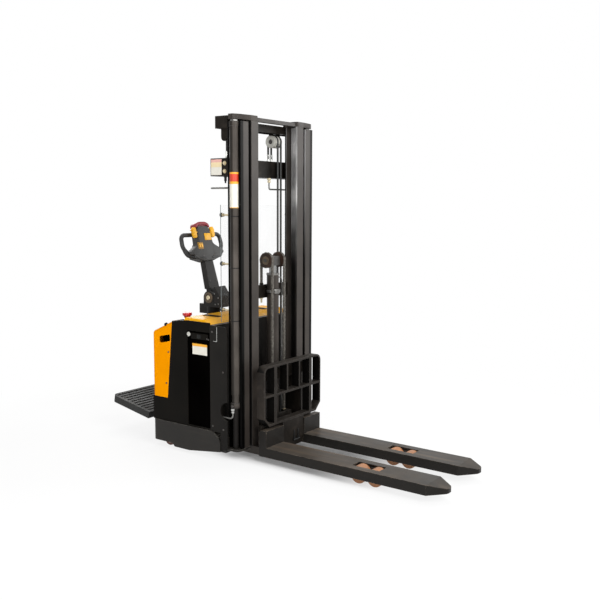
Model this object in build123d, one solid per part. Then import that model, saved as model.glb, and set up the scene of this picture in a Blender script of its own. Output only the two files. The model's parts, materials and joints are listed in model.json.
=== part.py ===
from build123d import *
import os
from math import cos, hypot, radians, sin

# Forks and their lowered height
fork_length = 1170.0
fork_width = 176.0
forks_outer_width = 570.0
fork_depth = 58.0
fork_top = 102.0
fork_wall = 8.0
fork_tip_length = 98.0
fork_tip_width = 50.0
fork_tip_drop = 20.0
fork_tip_rise = 14.0
fork_opening_start = 584.0
fork_opening_length = 178.0
fork_opening_width = 76.0
shank_depth = 57.0
shank_height = 206.0
shank_setback = 69.0
shank_chamfer = 14.25

# Support legs and load wheels
leg_width = 100.0
leg_top_gap = 9.0
leg_clearance = 34.0
leg_end_margin = 74.0
load_wheel_diameter = 100.0
load_wheel_width = 68.0
load_wheel_spacing = 106.0
load_axle_radius = 10.0
wheel_slot_gap = 4.0

# Mast
mast_top = 2090.0
upright_depth = 100.0
upright_flange = 14.0
inner_outer_edge = 263.0
inner_upright_width = 67.0
inner_upright_bottom = 88.0
outer_inner_edge = 288.0
outer_upright_width = 75.0
outer_web_edge = 316.0
outer_web = 12.0
outer_upright_bottom = 92.0
mast_foot_plate = 14.0
mast_foot_corner = 40.0
mast_cap_thickness = 30.0
mast_cap_gap = 10.0
mast_cap_rear_gap = 4.0
cross_bar_gap = 2.0
top_bar_depth = 36.0
top_bar_setback = 12.0
top_bar_drop = 8.0
mast_cap_corner = 12.0
free_lift_stroke = 1450.0

# Side lift cylinders
side_barrel_radius = 28.0
side_bore_radius = 22.0
side_rod_radius = 20.0
side_cylinder_gap = 3.0
body_side_gap = 7.0
side_barrel_bottom = 425.0
side_neck_radius = 24.0
side_collar_radius = 31.0
side_collar_bottom = 342.0
side_collar_height = 30.0
side_foot_radius = 19.0
side_gland_height = 26.0
side_rod_guide = 150.0
side_rod_floor = 22.0
pipe_radius = 5.0
pipe_gap = 2.0
pipe_bend = 25.0
pipe_level = 278.0

# Rear beams of the outer mast
top_beam_depth = 95.0
top_beam_height = 47.0
top_beam_drop = 29.0
top_beam_end_rise = 25.0
top_beam_end_width = 60.0
mid_beam_depth = 107.0
mid_beam_setback = 28.0
beam_clear_height = 174.0
mid_beam_height = 105.0
beam_plate = 6.0
end_plate = 18.0

# Free lift cylinder, crosshead and chains
free_axis_setback = 45.0
free_barrel_radius = 38.0
free_bore_radius = 26.0
free_rod_radius = 24.0
free_bore_floor = 26.0
free_gland_height = 30.0
free_barrel_top = 1140.0
free_rod_guide = 115.0
free_rod_show = 48.0
crosshead_half_width = 44.0
crosshead_drop = 34.0
crosshead_rise = 24.0
pulley_axle_end = 6.0
pulley_radius = 38.0
pulley_width = 24.0
pulley_spacing = 122.0
pulley_axle_radius = 12.0
chain_thickness = 10.0
chain_width = 18.0
chain_lug_rise = 30.0
chain_lug_height = 26.0
chain_shelf_depth = 20.0
chain_shelf_height = 60.0
running_gap = 0.05
turning_gap = 0.5
rear_anchor_rise = 11.0
mid_bar_drop = 155.0
mid_bar_height = 82.0
mid_bar_depth = 24.0
clamp_height = 30.0
clamp_wall = 8.0
clamp_rise = 27.0
base_bar_height = 56.0

# Carriage and load backrest
carriage_plate_depth = 24.0
carriage_half_width = 260.0
carriage_plate_top = 226.0
web_plate_depth = 14.0
side_plate_thickness = 14.0
side_plate_gap = 6.0
side_plate_bottom = 152.0
side_plate_top = 560.0
carriage_roller_radius = 34.0
carriage_roller_width = 42.0
roller_level_low = 205.0
roller_level_high = 500.0
roller_axle_radius = 12.0
roller_axle_wall = 6.0
roller_side_gap = 2.0
leg_cover_gap = 2.0
upper_bar_height = 70.0
mast_roller_gap = 1.0
mast_roller_width = 22.0
mast_roller_axle = 11.0
mast_roller_side_gap = 2.0
mast_roller_rise = 43.0
mast_roller_pitch = 260.0
backrest_half_width = 297.0
backrest_top = 600.0
backrest_depth = 57.0
backrest_inset = 5.0
backrest_bar = 13.0
backrest_thick_bar = 28.0
backrest_mid = 413.0
backrest_side_bottom = 278.0
backrest_corner = 45.0
backrest_thick_at = 184.0
backrest_thin_at = 63.0

# Truck body
body_rear_setback = 715.0
skirt_wall = 8.0
skirt_top = 182.0
skirt_bottom = 25.0
skirt_front_rise = 35.0
skirt_arch = 45.0
skirt_front_setback = 135.0
skirt_front_radius = 88.0
skirt_corner = 40.0
panel_inset = 5.0
panel_wall = 8.0
panel_top = 838.0
rim_rise = 14.0
front_plate_rear_setback = 216.0
front_plate_setback = 79.0
front_plate_bottom = 83.0
front_plate_slope = 14.0
notch_radius = 56.0
notch_level = 320.0
recess_rear_setback = 406.0
recess_top_drop = 46.0
recess_bottom = 190.0
recess_depth = 5.0
cover_front_top_setback = 537.0
cover_front_bottom_setback = 584.0
cover_bottom = 335.0
slope_drop = 76.0
slope_front_setback = 548.0
slope_top_drop = 6.0
cover_wall = 6.0
cover_return = 90.0
cover_corner = 24.0
hand_hold_length = 98.0
hand_hold_height = 44.0
hand_hold_setback = 604.0
hand_hold_level = 706.0
bulkhead_gap = 15.0
wall_plate = 8.0
foot_inset = 3.0
seam_gap = 1.0
front_wall_setback = 196.0
deck_level = 300.0
deck_plate = 12.0
floor_level = 62.0
crossmember_bottom = 58.0
crossmember_top = 150.0
hood_front_setback = 224.0
hood_rear_setback = 440.0
hood_rise = 28.0
hood_wall = 5.0
hood_lap = 12.0
hood_slot_length = 104.0
hood_slot_width = 24.0
hood_slot_setback = 348.0
hood_slot_side = 236.0

# Inside pieces
inside_gap = 6.0
pump_side = 150.0
battery_top = 620.0
tank_top = 330.0
pump_motor_radius = 65.0
pump_motor_height = 200.0
controller_depth = 45.0
controller_width = 180.0
controller_height = 240.0
controller_rise = 40.0

# Drive unit and tiller
steer_setback = 550.0
drive_wheel_diameter = 250.0
drive_wheel_width = 80.0
drive_axle_radius = 20.0
gearbox_depth = 62.0
gearbox_gap = 4.0
bearing_fit = 0.1
turntable_radius = 104.0
turntable_thickness = 30.0
bearing_radius = 140.0
motor_radius = 74.0
motor_height = 190.0
neck_radius = 46.0
neck_hole_gap = 8.0
tiller_base_gap = 4.0
tiller_pivot_rise = 109.0
tiller_pivot_offset = 5.0
tiller_lean = 15.0
cheek_radius = 45.0
cheek_inner = 38.0
cheek_wall = 15.0
housing_reach = 99.0
housing_rise = 76.5
housing_slope = 45.0
housing_gap = 4.0
hub_inset = 6.0
arm_hub_gap = 0.5
arm_width_low = 100.0
arm_width_high = 80.0
arm_depth = 44.0
arm_start = 62.0
head_start = 245.0
head_top = 482.0
head_front = 32.0
head_back = 28.0
head_upper_half = 60.0
head_flare = 8.0
head_neck = 4.0
head_corner = 20.0
head_shoulder = 20.0
head_edge = 8.0
head_wing_half = 128.0
grip_radius = 14.0
grip_half_width = 191.0
grip_low_level = 284.0
grip_high_level = 431.0
grip_depth = 9.0
grip_embed = 8.0
grip_shoulder = 6.0
grip_side_drop = 86.0
grip_foot_drop = 6.0
grip_top_bend = 34.0
grip_side_bend = 60.0
belly_travel = 8.0
belly_height = 20.0
belly_gap = 1.0
belly_rim = 8.0
belly_corner = 6.0
tongue_half = 44.0
tongue_depth = 14.0
tongue_pocket = 24.0
tongue_gap = 0.25
butterfly_level = 441.0
butterfly_depth = 22.0
butterfly_shaft_radius = 6.0
butterfly_half_length = 30.0
butterfly_width = 26.0
butterfly_gap = 0.8
butterfly_hub_wall = 2.0
button_length = 26.0
button_width = 13.0
button_height = 4.0
button_depth = 16.0
button_floor_gap = 1.0
button_travel = 3.0
button_level = 350.0
button_side = 58.0
button_pitch = 20.0

# Emergency stop
stop_hood_gap = 27.0
stop_side = 307.0
stop_head_radius = 30.0
stop_head_height = 18.0
stop_stem_radius = 15.0
stop_travel = 8.0
stop_stem_rise = 20.0
stop_stem_below = 12.0

# Stabiliser castors
castor_setback = 610.0
castor_wheel_diameter = 90.0
castor_wheel_width = 46.0
castor_trail = 22.0
castor_skirt_gap = 7.2
castor_wheel_gap = 4.0
castor_fork_gap = 2.0
castor_bracket_top = 128.0
castor_wall = 6.0
castor_axle_radius = 8.0
spring_tower_radius = 34.0
castor_pin_radius = 12.0
castor_pin_length = 24.0
castor_pin_gap = 0.8

# Operator platform
platform_half_width = 370.0
platform_start = 33.0
platform_reach = 398.0
platform_thickness = 46.0
platform_top_offset = 35.0
platform_tilt = 10.6
platform_corner = 40.0
platform_rib_count = 9
platform_rib_height = 5.0
platform_rim = 22.0
hinge_setback = 770.0
hinge_level = 160.0
hinge_pin_radius = 10.0
hinge_arm_side = 230.0
hinge_arm_width = 30.0
hinge_lug_width = 18.0
hinge_boss_radius = 22.0
hinge_side_gap = 0.8
hinge_arm_top = 18.0

# Clear guard and hose pulley
guard_setback = 180.0
guard_half_width = 340.0
guard_clearance = 18.0
guard_top_gap = 170.0
guard_sheet = 5.0
guard_bolt_low_rise = 74.0
guard_bolt_middle_drop = 6.5
guard_bolt_high_drop = 60.0
guard_bolt_radius = 6.0
guard_bolt_head = 10.0
hose_pulley_setback = 150.0
hose_pulley_side = 152.0
hose_pulley_radius = 39.0
hose_pulley_width = 58.0
hose_radius = 6.5
hose_pitch = 32.0
near_hose_side = 310.0
hose_top_gap = 3.0
hose_guard_half = 24.0
pulley_bracket_plate = 8.0
pulley_bracket_half = 16.0
pulley_pin_radius = 8.0
pulley_side_gap = 0.8

# The row's origin lies on the floor, midway between the fork tips and the platform's rear edge
tip_reach = shank_setback + shank_depth + fork_length
tilt = radians(platform_tilt)
platform_low = platform_top_offset - platform_thickness
platform_rear_setback = hinge_setback + platform_reach * cos(tilt) - platform_low * sin(tilt)
mast_front = (platform_rear_setback - tip_reach) / 2
mast_rear = mast_front - upright_depth
outer_edge = outer_inner_edge + outer_upright_width
fork_centre = (forks_outer_width - fork_width) / 2
rim_top = panel_top + rim_rise
recess_top = panel_top - recess_top_drop
slope_high = panel_top - slope_top_drop
slope_low = slope_high - slope_drop
hood_edge = panel_top
hood_crown = hood_edge + hood_rise
guard_bottom = panel_top + guard_clearance
bulkhead_setback = steer_setback - bearing_radius - bulkhead_gap
crosshead_level = free_barrel_top + free_rod_show + crosshead_drop
mid_bar_bottom = free_barrel_top - mid_bar_drop
rear_anchor_level = mid_bar_bottom + mid_bar_height + rear_anchor_rise
tiller_base_bottom = panel_top + tiller_base_gap
tiller_pivot_level = tiller_base_bottom + tiller_pivot_rise


def block(x, y, z):
    """A box between two corners, given as pairs along each axis."""
    middle = [(low + high) / 2 for low, high in (x, y, z)]
    return Pos(*middle) * Box(x[1] - x[0], y[1] - y[0], z[1] - z[0])


def rod_z(radius, x, y, z):
    return Pos(x, y, (z[0] + z[1]) / 2) * Cylinder(radius, z[1] - z[0])


def rod_y(radius, x, y, z):
    return Pos(x, (y[0] + y[1]) / 2, z) * Rot(90, 0, 0) * Cylinder(radius, y[1] - y[0])


def rod_x(radius, x, y, z):
    return Pos((x[0] + x[1]) / 2, y, z) * Rot(0, 90, 0) * Cylinder(radius, x[1] - x[0])


def prism_y(outline, y):
    """Extrude an outline of (x, z) points from y[0] to y[1]."""
    face = make_face(Polyline(*[(px, y[0], pz) for px, pz in outline], close=True))
    return extrude(face, amount=y[1] - y[0], dir=(0, 1, 0))


def prism_z(outline, z):
    """Extrude an outline of (x, y) points from z[0] to z[1]."""
    face = make_face(Polyline(*[(px, py, z[0]) for px, py in outline], close=True))
    return extrude(face, amount=z[1] - z[0], dir=(0, 0, 1))


def prism_x(outline, x):
    """Extrude an outline of (y, z) points from x[0] to x[1]."""
    face = make_face(Polyline(*[(x[0], py, pz) for py, pz in outline], close=True))
    return extrude(face, amount=x[1] - x[0], dir=(1, 0, 0))


def both_sides(shape):
    return [shape, mirror(shape, about=Plane.XZ)]


def setback(distance):
    """A place behind the mast's front face."""
    return mast_front - distance


def save(name, *solids):
    shape = solids[0] if len(solids) == 1 else Compound(children=list(solids))
    export_step(shape, f"parts/{name}.step")


def save_group(name, left_shape):
    """A left piece and its mirrored right one, kept together as two solids."""
    save(name, *both_sides(left_shape))


def save_pair(name, left_shape):
    """The left piece lies on the +Y side, and the right one mirrors it."""
    left, right = both_sides(left_shape)
    save(f"{name}_left", left)
    save(f"{name}_right", right)


os.makedirs("parts", exist_ok=True)
front_wall_x = setback(front_wall_setback)
side_cylinder_y = outer_web_edge + outer_web + side_cylinder_gap + side_barrel_radius
panel_in = side_cylinder_y + side_collar_radius + body_side_gap
panel_out = panel_in + panel_wall
body_half_width = panel_out + panel_inset

# Forks: inverted channels over the support legs, with a hollow shank behind
shank_rear = mast_front + shank_setback
shank_front = shank_rear + shank_depth
tip_x = shank_front + fork_length
taper_x = tip_x - fork_tip_length
fork_bottom = fork_top - fork_depth
tip_inset = (fork_width - fork_tip_width) / 2
fork_near = fork_centre - fork_width / 2
fork_far = fork_centre + fork_width / 2


def make_fork():
    plan = [
        (shank_rear, fork_near),
        (taper_x, fork_near),
        (tip_x, fork_near + tip_inset),
        (tip_x, fork_far - tip_inset),
        (taper_x, fork_far),
        (shank_rear, fork_far),
    ]
    blade = prism_z(plan, (fork_bottom, fork_top))
    corners = blade.edges().filter_by(Axis.Z).group_by(Axis.X)[-1]
    blade = fillet(corners, tip_inset / 2)
    across = (fork_near - fork_wall, fork_far + fork_wall)
    for level, slope, way in ((fork_top, fork_tip_drop, 1), (fork_bottom, fork_tip_rise, -1)):
        blade -= prism_y(
            [
                (taper_x, level),
                (tip_x + fork_wall, level - way * slope),
                (tip_x + fork_wall, level + way * fork_wall),
                (taper_x, level + way * fork_wall),
            ],
            across,
        )
    shank = block((shank_rear, shank_front), (fork_near, fork_far), (fork_top - fork_wall, shank_height))
    rear_edge = shank.edges().filter_by(Axis.Y).group_by(Axis.Z)[-1].sort_by(Axis.X)[0]
    shank = chamfer(rear_edge, shank_chamfer)
    channel = block(
        (shank_rear - fork_wall, taper_x),
        (fork_near + fork_wall, fork_far - fork_wall),
        (fork_bottom - fork_wall, fork_top - fork_wall),
    )
    opening_x = shank_front + fork_opening_start
    opening = block(
        (opening_x, opening_x + fork_opening_length),
        (fork_centre - fork_opening_width / 2, fork_centre + fork_opening_width / 2),
        (fork_top - 2 * fork_wall, fork_top + fork_wall),
    )
    return blade + shank - channel - opening


save_pair("fork", make_fork())

# Support legs run inside the forks and carry tandem load wheels
leg_top = fork_top - fork_wall - leg_top_gap
wheel_radius = load_wheel_diameter / 2
wheels_x = shank_front + fork_opening_start + fork_opening_length / 2
front_wheel_x = wheels_x + load_wheel_spacing / 2
rear_wheel_x = wheels_x - load_wheel_spacing / 2
leg_end = front_wheel_x + wheel_radius + leg_end_margin
slot_half = load_wheel_width / 2 + wheel_slot_gap
leg_side = (fork_centre - leg_width / 2, fork_centre + leg_width / 2)


def make_leg():
    leg = block((mast_rear, leg_end), leg_side, (leg_clearance, leg_top))
    nose = leg.edges().filter_by(Axis.Y).group_by(Axis.X)[-1].sort_by(Axis.Z)[0]
    leg = chamfer(nose, (leg_top - leg_clearance) / 2)
    slot = block(
        (rear_wheel_x - wheel_radius - wheel_slot_gap, front_wheel_x + wheel_radius + wheel_slot_gap),
        (fork_centre - slot_half, fork_centre + slot_half),
        (0, fork_top),
    )
    leg -= slot
    for wheel_x in (rear_wheel_x, front_wheel_x):
        leg -= rod_y(load_axle_radius, wheel_x, leg_side, wheel_radius)
    return leg


save_group("support_legs", make_leg())


def make_load_wheel(wheel_x):
    reach = load_wheel_width / 2
    wheel = rod_y(wheel_radius, wheel_x, (fork_centre - reach, fork_centre + reach), wheel_radius)
    wheel = fillet(wheel.edges().filter_by(GeomType.CIRCLE), wheel_slot_gap)
    return wheel - rod_y(load_axle_radius + running_gap, wheel_x, leg_side, wheel_radius)


load_axles = []
for place, wheel_x in (("front", front_wheel_x), ("rear", rear_wheel_x)):
    save_pair(f"load_wheel_{place}", make_load_wheel(wheel_x))
    load_axles += both_sides(rod_y(load_axle_radius, wheel_x, leg_side, wheel_radius))
save("load_wheel_axles", *load_axles)

# Outer mast: two H-section uprights tied by beams at the rear
outer_top = mast_top - mast_cap_thickness - mast_cap_gap


def make_outer_upright():
    height = (outer_upright_bottom, outer_top)
    upright = block((mast_rear, mast_front), (outer_inner_edge, outer_edge), height)
    pocket = (mast_rear + upright_flange, mast_front - upright_flange)
    upright -= block(pocket, (outer_inner_edge - 1, outer_web_edge), height)
    upright -= block(pocket, (outer_web_edge + outer_web, outer_edge + 1), height)
    return upright


save_group("outer_uprights", make_outer_upright())

top_beam_rear = mast_rear - top_beam_depth
top_beam_top = mast_top - top_beam_drop
top_beam_bottom = top_beam_top - top_beam_height
pulley_x = setback(hose_pulley_setback)
pulley_z = top_beam_bottom - hose_pulley_radius - hose_radius - hose_top_gap
bracket_inner = hose_pulley_width / 2 + pulley_side_gap
bracket_outer = bracket_inner + pulley_bracket_plate


def make_top_beam():
    """The rear beam, with the hose pulley's fork on one side and a hose guard on the other."""
    beam = block((top_beam_rear, mast_rear), (-outer_edge, outer_edge), (top_beam_bottom, top_beam_top))
    beam -= block(
        (top_beam_rear + beam_plate, mast_rear - beam_plate),
        (-outer_edge + beam_plate, outer_edge - beam_plate),
        (top_beam_bottom - beam_plate, top_beam_top - beam_plate),
    )
    for end in both_sides(block((top_beam_rear, mast_rear), (outer_edge - top_beam_end_width, outer_edge),
                                (top_beam_top, top_beam_top + top_beam_end_rise))):
        beam += end
    for middle, half in ((hose_pulley_side, bracket_outer), (-near_hose_side, hose_guard_half)):
        beam += block((top_beam_rear, mast_rear), (middle - half, middle + half),
                      (top_beam_bottom, top_beam_bottom + beam_plate))
    for low in (hose_pulley_side - bracket_outer, hose_pulley_side + bracket_inner):
        span = (low, low + pulley_bracket_plate)
        beam += block((pulley_x - pulley_bracket_half, pulley_x + pulley_bracket_half), span,
                      (pulley_z, top_beam_bottom))
        beam += rod_y(pulley_bracket_half, pulley_x, span, pulley_z)
    beam += rod_y(pulley_pin_radius, pulley_x,
                  (hose_pulley_side - bracket_outer, hose_pulley_side + bracket_outer), pulley_z)
    guard_start = -near_hose_side - hose_guard_half
    guard_side = (guard_start, guard_start + pulley_bracket_plate)
    beam += block((pulley_x - hose_guard_half, pulley_x + hose_guard_half), guard_side,
                  (pulley_z, top_beam_bottom))
    return beam + rod_y(hose_guard_half, pulley_x, guard_side, pulley_z)


save("rear_top_beam", make_top_beam())


def make_hose_pulley():
    reach = hose_pulley_width / 2
    side = (hose_pulley_side - reach, hose_pulley_side + reach)
    wheel = rod_y(hose_pulley_radius, pulley_x, side, pulley_z)
    for offset in (-hose_pitch / 2, hose_pitch / 2):
        groove = Torus(hose_pulley_radius, hose_radius + turning_gap)
        wheel -= Pos(pulley_x, hose_pulley_side + offset, pulley_z) * Rot(90, 0, 0) * groove
    return wheel - rod_y(pulley_pin_radius + running_gap, pulley_x, side, pulley_z)


save("hose_pulley", make_hose_pulley())

mid_beam_front = mast_rear - mid_beam_setback
mid_beam_rear = mid_beam_front - mid_beam_depth
mid_beam_top = top_beam_bottom - beam_clear_height
mid_beam_bottom = mid_beam_top - mid_beam_height


def make_mid_beam():
    span = (-outer_edge, outer_edge)
    beam = block((mid_beam_rear, mid_beam_front), span, (mid_beam_bottom, mid_beam_top))
    beam -= block(
        (mid_beam_rear - beam_plate, mid_beam_front - beam_plate),
        span,
        (mid_beam_bottom + beam_plate, mid_beam_top - beam_plate),
    )
    for y in ((-outer_edge, -outer_edge + end_plate), (outer_edge - end_plate, outer_edge)):
        beam += block((mid_beam_rear, mast_rear), y, (mid_beam_bottom, mid_beam_top))
    return beam


save("mid_beam", make_mid_beam())

# Side lift cylinders stand in the outer recess of each outer upright
side_cylinder_x = mast_front - upright_depth / 2
side_barrel_top = outer_top - side_cylinder_gap
lift_stroke = side_barrel_top - side_barrel_bottom - side_rod_floor - side_rod_guide
side_rod_bottom = side_barrel_top - lift_stroke - side_rod_guide
cap_bottom = mast_top - mast_cap_thickness


def make_side_cylinder():
    x, y = side_cylinder_x, side_cylinder_y
    collar_top = side_collar_bottom + side_collar_height
    barrel = rod_z(side_barrel_radius, x, y, (side_barrel_bottom, side_barrel_top))
    barrel += rod_z(side_collar_radius, x, y, (side_barrel_top - side_gland_height, side_barrel_top))
    barrel += rod_z(side_neck_radius, x, y, (collar_top, side_barrel_bottom))
    barrel += rod_z(side_collar_radius, x, y, (side_collar_bottom, collar_top))
    barrel += rod_z(side_foot_radius, x, y, (outer_upright_bottom, side_collar_bottom))
    barrel -= rod_z(side_bore_radius, x, y, (side_barrel_bottom, side_barrel_top - side_gland_height))
    return barrel - rod_z(side_rod_radius + running_gap, x, y, (side_barrel_bottom, side_barrel_top))


save("side_cylinders", *both_sides(make_side_cylinder()))
rod_shape = rod_z(side_rod_radius, side_cylinder_x, side_cylinder_y, (side_rod_bottom, cap_bottom))
save("side_cylinder_rods", *both_sides(rod_shape))


def make_pipe():
    """Oil pipe from the cylinder's collar down and back to the body's front wall."""
    y = side_cylinder_y + side_foot_radius + pipe_radius + pipe_gap
    path = FilletPolyline(
        (side_cylinder_x, y, side_collar_bottom),
        (side_cylinder_x, y, pipe_level),
        (front_wall_x + wall_plate, y, pipe_level),
        radius=pipe_bend)
    return sweep(Plane(origin=path @ 0, z_dir=path % 0) * Circle(pipe_radius), path)


save("cylinder_pipes", *both_sides(make_pipe()))

# Inner mast: two C-section uprights, a top frame pushed up by the rods, and cross bars
inner_edge = inner_outer_edge - inner_upright_width
free_axis_x = setback(free_axis_setback)
bar_rear = mast_rear + cross_bar_gap


def make_inner_upright():
    height = (inner_upright_bottom, cap_bottom)
    upright = block((mast_rear, mast_front), (inner_edge, inner_outer_edge), height)
    return upright - block(
        (mast_rear + upright_flange, mast_front - upright_flange),
        (inner_edge - 1, inner_outer_edge - upright_flange),
        height,
    )


save_group("inner_uprights", make_inner_upright())


def make_top_frame():
    height = (cap_bottom, mast_top)
    bar_front = mast_front - top_bar_setback
    frame = block((bar_front - top_bar_depth, bar_front), (-inner_edge, inner_edge),
                  (cap_bottom, mast_top - top_bar_drop))
    reach = side_collar_radius + side_cylinder_gap
    cap = prism_z(
        [
            (mast_front, inner_edge),
            (mast_front, inner_outer_edge),
            (side_cylinder_x + reach, side_cylinder_y),
            (side_cylinder_x + reach / 2, side_cylinder_y + reach),
            (side_cylinder_x - reach / 2, side_cylinder_y + reach),
            (side_cylinder_x - reach, side_cylinder_y),
            (mast_rear + mast_cap_rear_gap, inner_outer_edge),
            (mast_rear + mast_cap_rear_gap, inner_edge),
        ],
        height,
    )
    cap = fillet(cap.edges().filter_by(Axis.Z).group_by(Axis.X)[-1], mast_cap_corner)
    for part in both_sides(cap):
        frame += part
    return frame


save("inner_top_frame", make_top_frame())

pulley_y = pulley_spacing / 2
rear_strand_x = free_axis_x - pulley_radius - chain_thickness / 2 - turning_gap
front_strand_x = free_axis_x + pulley_radius + chain_thickness / 2 + turning_gap


def make_mid_bar():
    """Cross bar behind the free lift cylinder, with its clamp and the two chain anchors."""
    bar = block((bar_rear, bar_rear + mid_bar_depth), (-inner_edge, inner_edge),
                (mid_bar_bottom, mid_bar_bottom + mid_bar_height))
    clamp_z = (mid_bar_bottom + clamp_rise, mid_bar_bottom + clamp_rise + clamp_height)
    clamp_radius = free_barrel_radius + clamp_wall
    bar += rod_z(clamp_radius, free_axis_x, 0, clamp_z)
    bar += block((bar_rear, free_axis_x), (-clamp_radius, clamp_radius), clamp_z)
    bar -= rod_z(free_barrel_radius, free_axis_x, 0, (mid_bar_bottom - 1, rear_anchor_level))
    for y in (-pulley_y, pulley_y):
        bar += block((bar_rear, rear_strand_x + chain_thickness),
                     (y - chain_width / 2, y + chain_width / 2), (mid_bar_bottom, rear_anchor_level))
    return bar


save("inner_mid_bar", make_mid_bar())
base_bar_top = inner_upright_bottom + base_bar_height
save("inner_base_bar", block(
    (bar_rear, free_axis_x + free_barrel_radius), (-inner_edge, inner_edge),
    (inner_upright_bottom, base_bar_top)))

# Free lift cylinder, whose rod raises the crosshead and the chain pulleys
axle_reach = pulley_y + pulley_width / 2 + pulley_axle_end
head_bottom = crosshead_level - crosshead_drop
free_barrel = rod_z(free_barrel_radius, free_axis_x, 0, (base_bar_top, free_barrel_top))
bore_floor = base_bar_top + free_bore_floor
gland_bottom = free_barrel_top - free_gland_height
free_barrel -= rod_z(free_bore_radius, free_axis_x, 0, (bore_floor, gland_bottom))
free_barrel -= rod_z(free_rod_radius + running_gap, free_axis_x, 0, (bore_floor, free_barrel_top))
save("free_lift_cylinder", free_barrel)
free_rod_bottom = free_barrel_top - free_lift_stroke / 2 - free_rod_guide
crosshead = rod_z(free_rod_radius, free_axis_x, 0, (free_rod_bottom, head_bottom))
crosshead += block(
    (free_axis_x - free_rod_radius, free_axis_x + free_rod_radius),
    (-crosshead_half_width, crosshead_half_width),
    (head_bottom, crosshead_level + crosshead_rise))
crosshead += rod_y(pulley_axle_radius, free_axis_x, (-axle_reach, axle_reach), crosshead_level)
save("crosshead", crosshead)


def make_chain_pulley():
    side = (pulley_y - pulley_width / 2, pulley_y + pulley_width / 2)
    wheel = rod_y(pulley_radius + chain_thickness, free_axis_x, side, crosshead_level)
    groove = (pulley_y - chain_width / 2 - turning_gap, pulley_y + chain_width / 2 + turning_gap)
    ring = rod_y(pulley_radius + 2 * chain_thickness, free_axis_x, groove, crosshead_level)
    ring -= rod_y(pulley_radius, free_axis_x, groove, crosshead_level)
    wheel -= ring
    return wheel - rod_y(pulley_axle_radius + running_gap, free_axis_x, side, crosshead_level)


save_pair("chain_pulley", make_chain_pulley())

# Lift chains: the front strands hold the carriage, the rear ones end on the inner mast
carriage_rear = shank_rear - carriage_plate_depth
backrest_front = shank_front - backrest_inset
chain_anchor_level = carriage_plate_top + chain_lug_rise


def make_front_chain():
    side = (pulley_y - chain_width / 2, pulley_y + chain_width / 2)
    inner = pulley_radius + turning_gap
    outer = inner + chain_thickness
    wrap = rod_y(outer, free_axis_x, side, crosshead_level)
    wrap -= rod_y(inner, free_axis_x, side, crosshead_level)
    reach = outer + chain_thickness
    wrap -= block((free_axis_x - reach, free_axis_x + reach), side,
                  (crosshead_level - reach, crosshead_level))
    strand = block(
        (front_strand_x - chain_thickness / 2, front_strand_x + chain_thickness / 2), side,
        (chain_anchor_level, crosshead_level))
    return wrap + strand


save("chains_front", *both_sides(make_front_chain()))
rear_chain = block(
    (rear_strand_x - chain_thickness / 2, rear_strand_x + chain_thickness / 2),
    (pulley_y - chain_width / 2, pulley_y + chain_width / 2),
    (rear_anchor_level, crosshead_level))
save("chains_rear", *both_sides(rear_chain))

# Carriage: plate, roller cheeks and chain lugs
cheek_outer = inner_edge - side_plate_gap
cheek_inner_face = cheek_outer - side_plate_thickness
roller_x = mast_front - upright_depth / 2
cheek_rear = roller_x - roller_axle_radius - roller_axle_wall
leg_cover = fork_top - fork_wall + leg_cover_gap
roller_levels = (roller_level_low, roller_level_high)
roller_start = inner_edge + roller_side_gap
roller_side = (roller_start, roller_start + carriage_roller_width)


def make_carriage():
    plate = block((carriage_rear, shank_rear), (-carriage_half_width, carriage_half_width),
                  (leg_cover, carriage_plate_top))
    plate += block((backrest_front - web_plate_depth, backrest_front), (-fork_near, fork_near),
                   (fork_bottom + fork_wall, carriage_plate_top))
    plate += block((shank_rear, backrest_front), (-fork_near, fork_near),
                   (carriage_plate_top - web_plate_depth, carriage_plate_top))
    cheek = block((cheek_rear, carriage_rear), (cheek_inner_face, cheek_outer),
                  (side_plate_bottom, side_plate_top))
    for level in roller_levels:
        cheek += rod_y(roller_axle_radius, roller_x, (cheek_outer, roller_side[1]), level)
    upper = block((carriage_rear, backrest_front - backrest_depth), (-cheek_outer, cheek_outer),
                  (side_plate_top - upper_bar_height, side_plate_top))
    for part in both_sides(cheek):
        plate += part
    plate += upper
    lug = block(
        (front_strand_x - chain_thickness, carriage_rear),
        (pulley_y - chain_width, pulley_y + chain_width),
        (chain_anchor_level - chain_lug_height, chain_anchor_level))
    for part in both_sides(lug):
        plate += part
    shelf = block((carriage_rear - chain_shelf_depth, carriage_rear),
                  (-pulley_y - chain_width, pulley_y + chain_width),
                  (chain_anchor_level - chain_shelf_height, chain_anchor_level))
    return plate + shelf


save("carriage_frame", make_carriage())


def make_carriage_rollers():
    rollers = []
    for level in roller_levels:
        wheel = rod_y(carriage_roller_radius, roller_x, roller_side, level)
        wheel -= rod_y(roller_axle_radius + running_gap, roller_x, roller_side, level)
        rollers += both_sides(wheel)
    return rollers


save("carriage_rollers", *make_carriage_rollers())

# Load backrest: a grid of flat bars with rounded upper corners
backrest_x = (backrest_front - backrest_depth, backrest_front)


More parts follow.
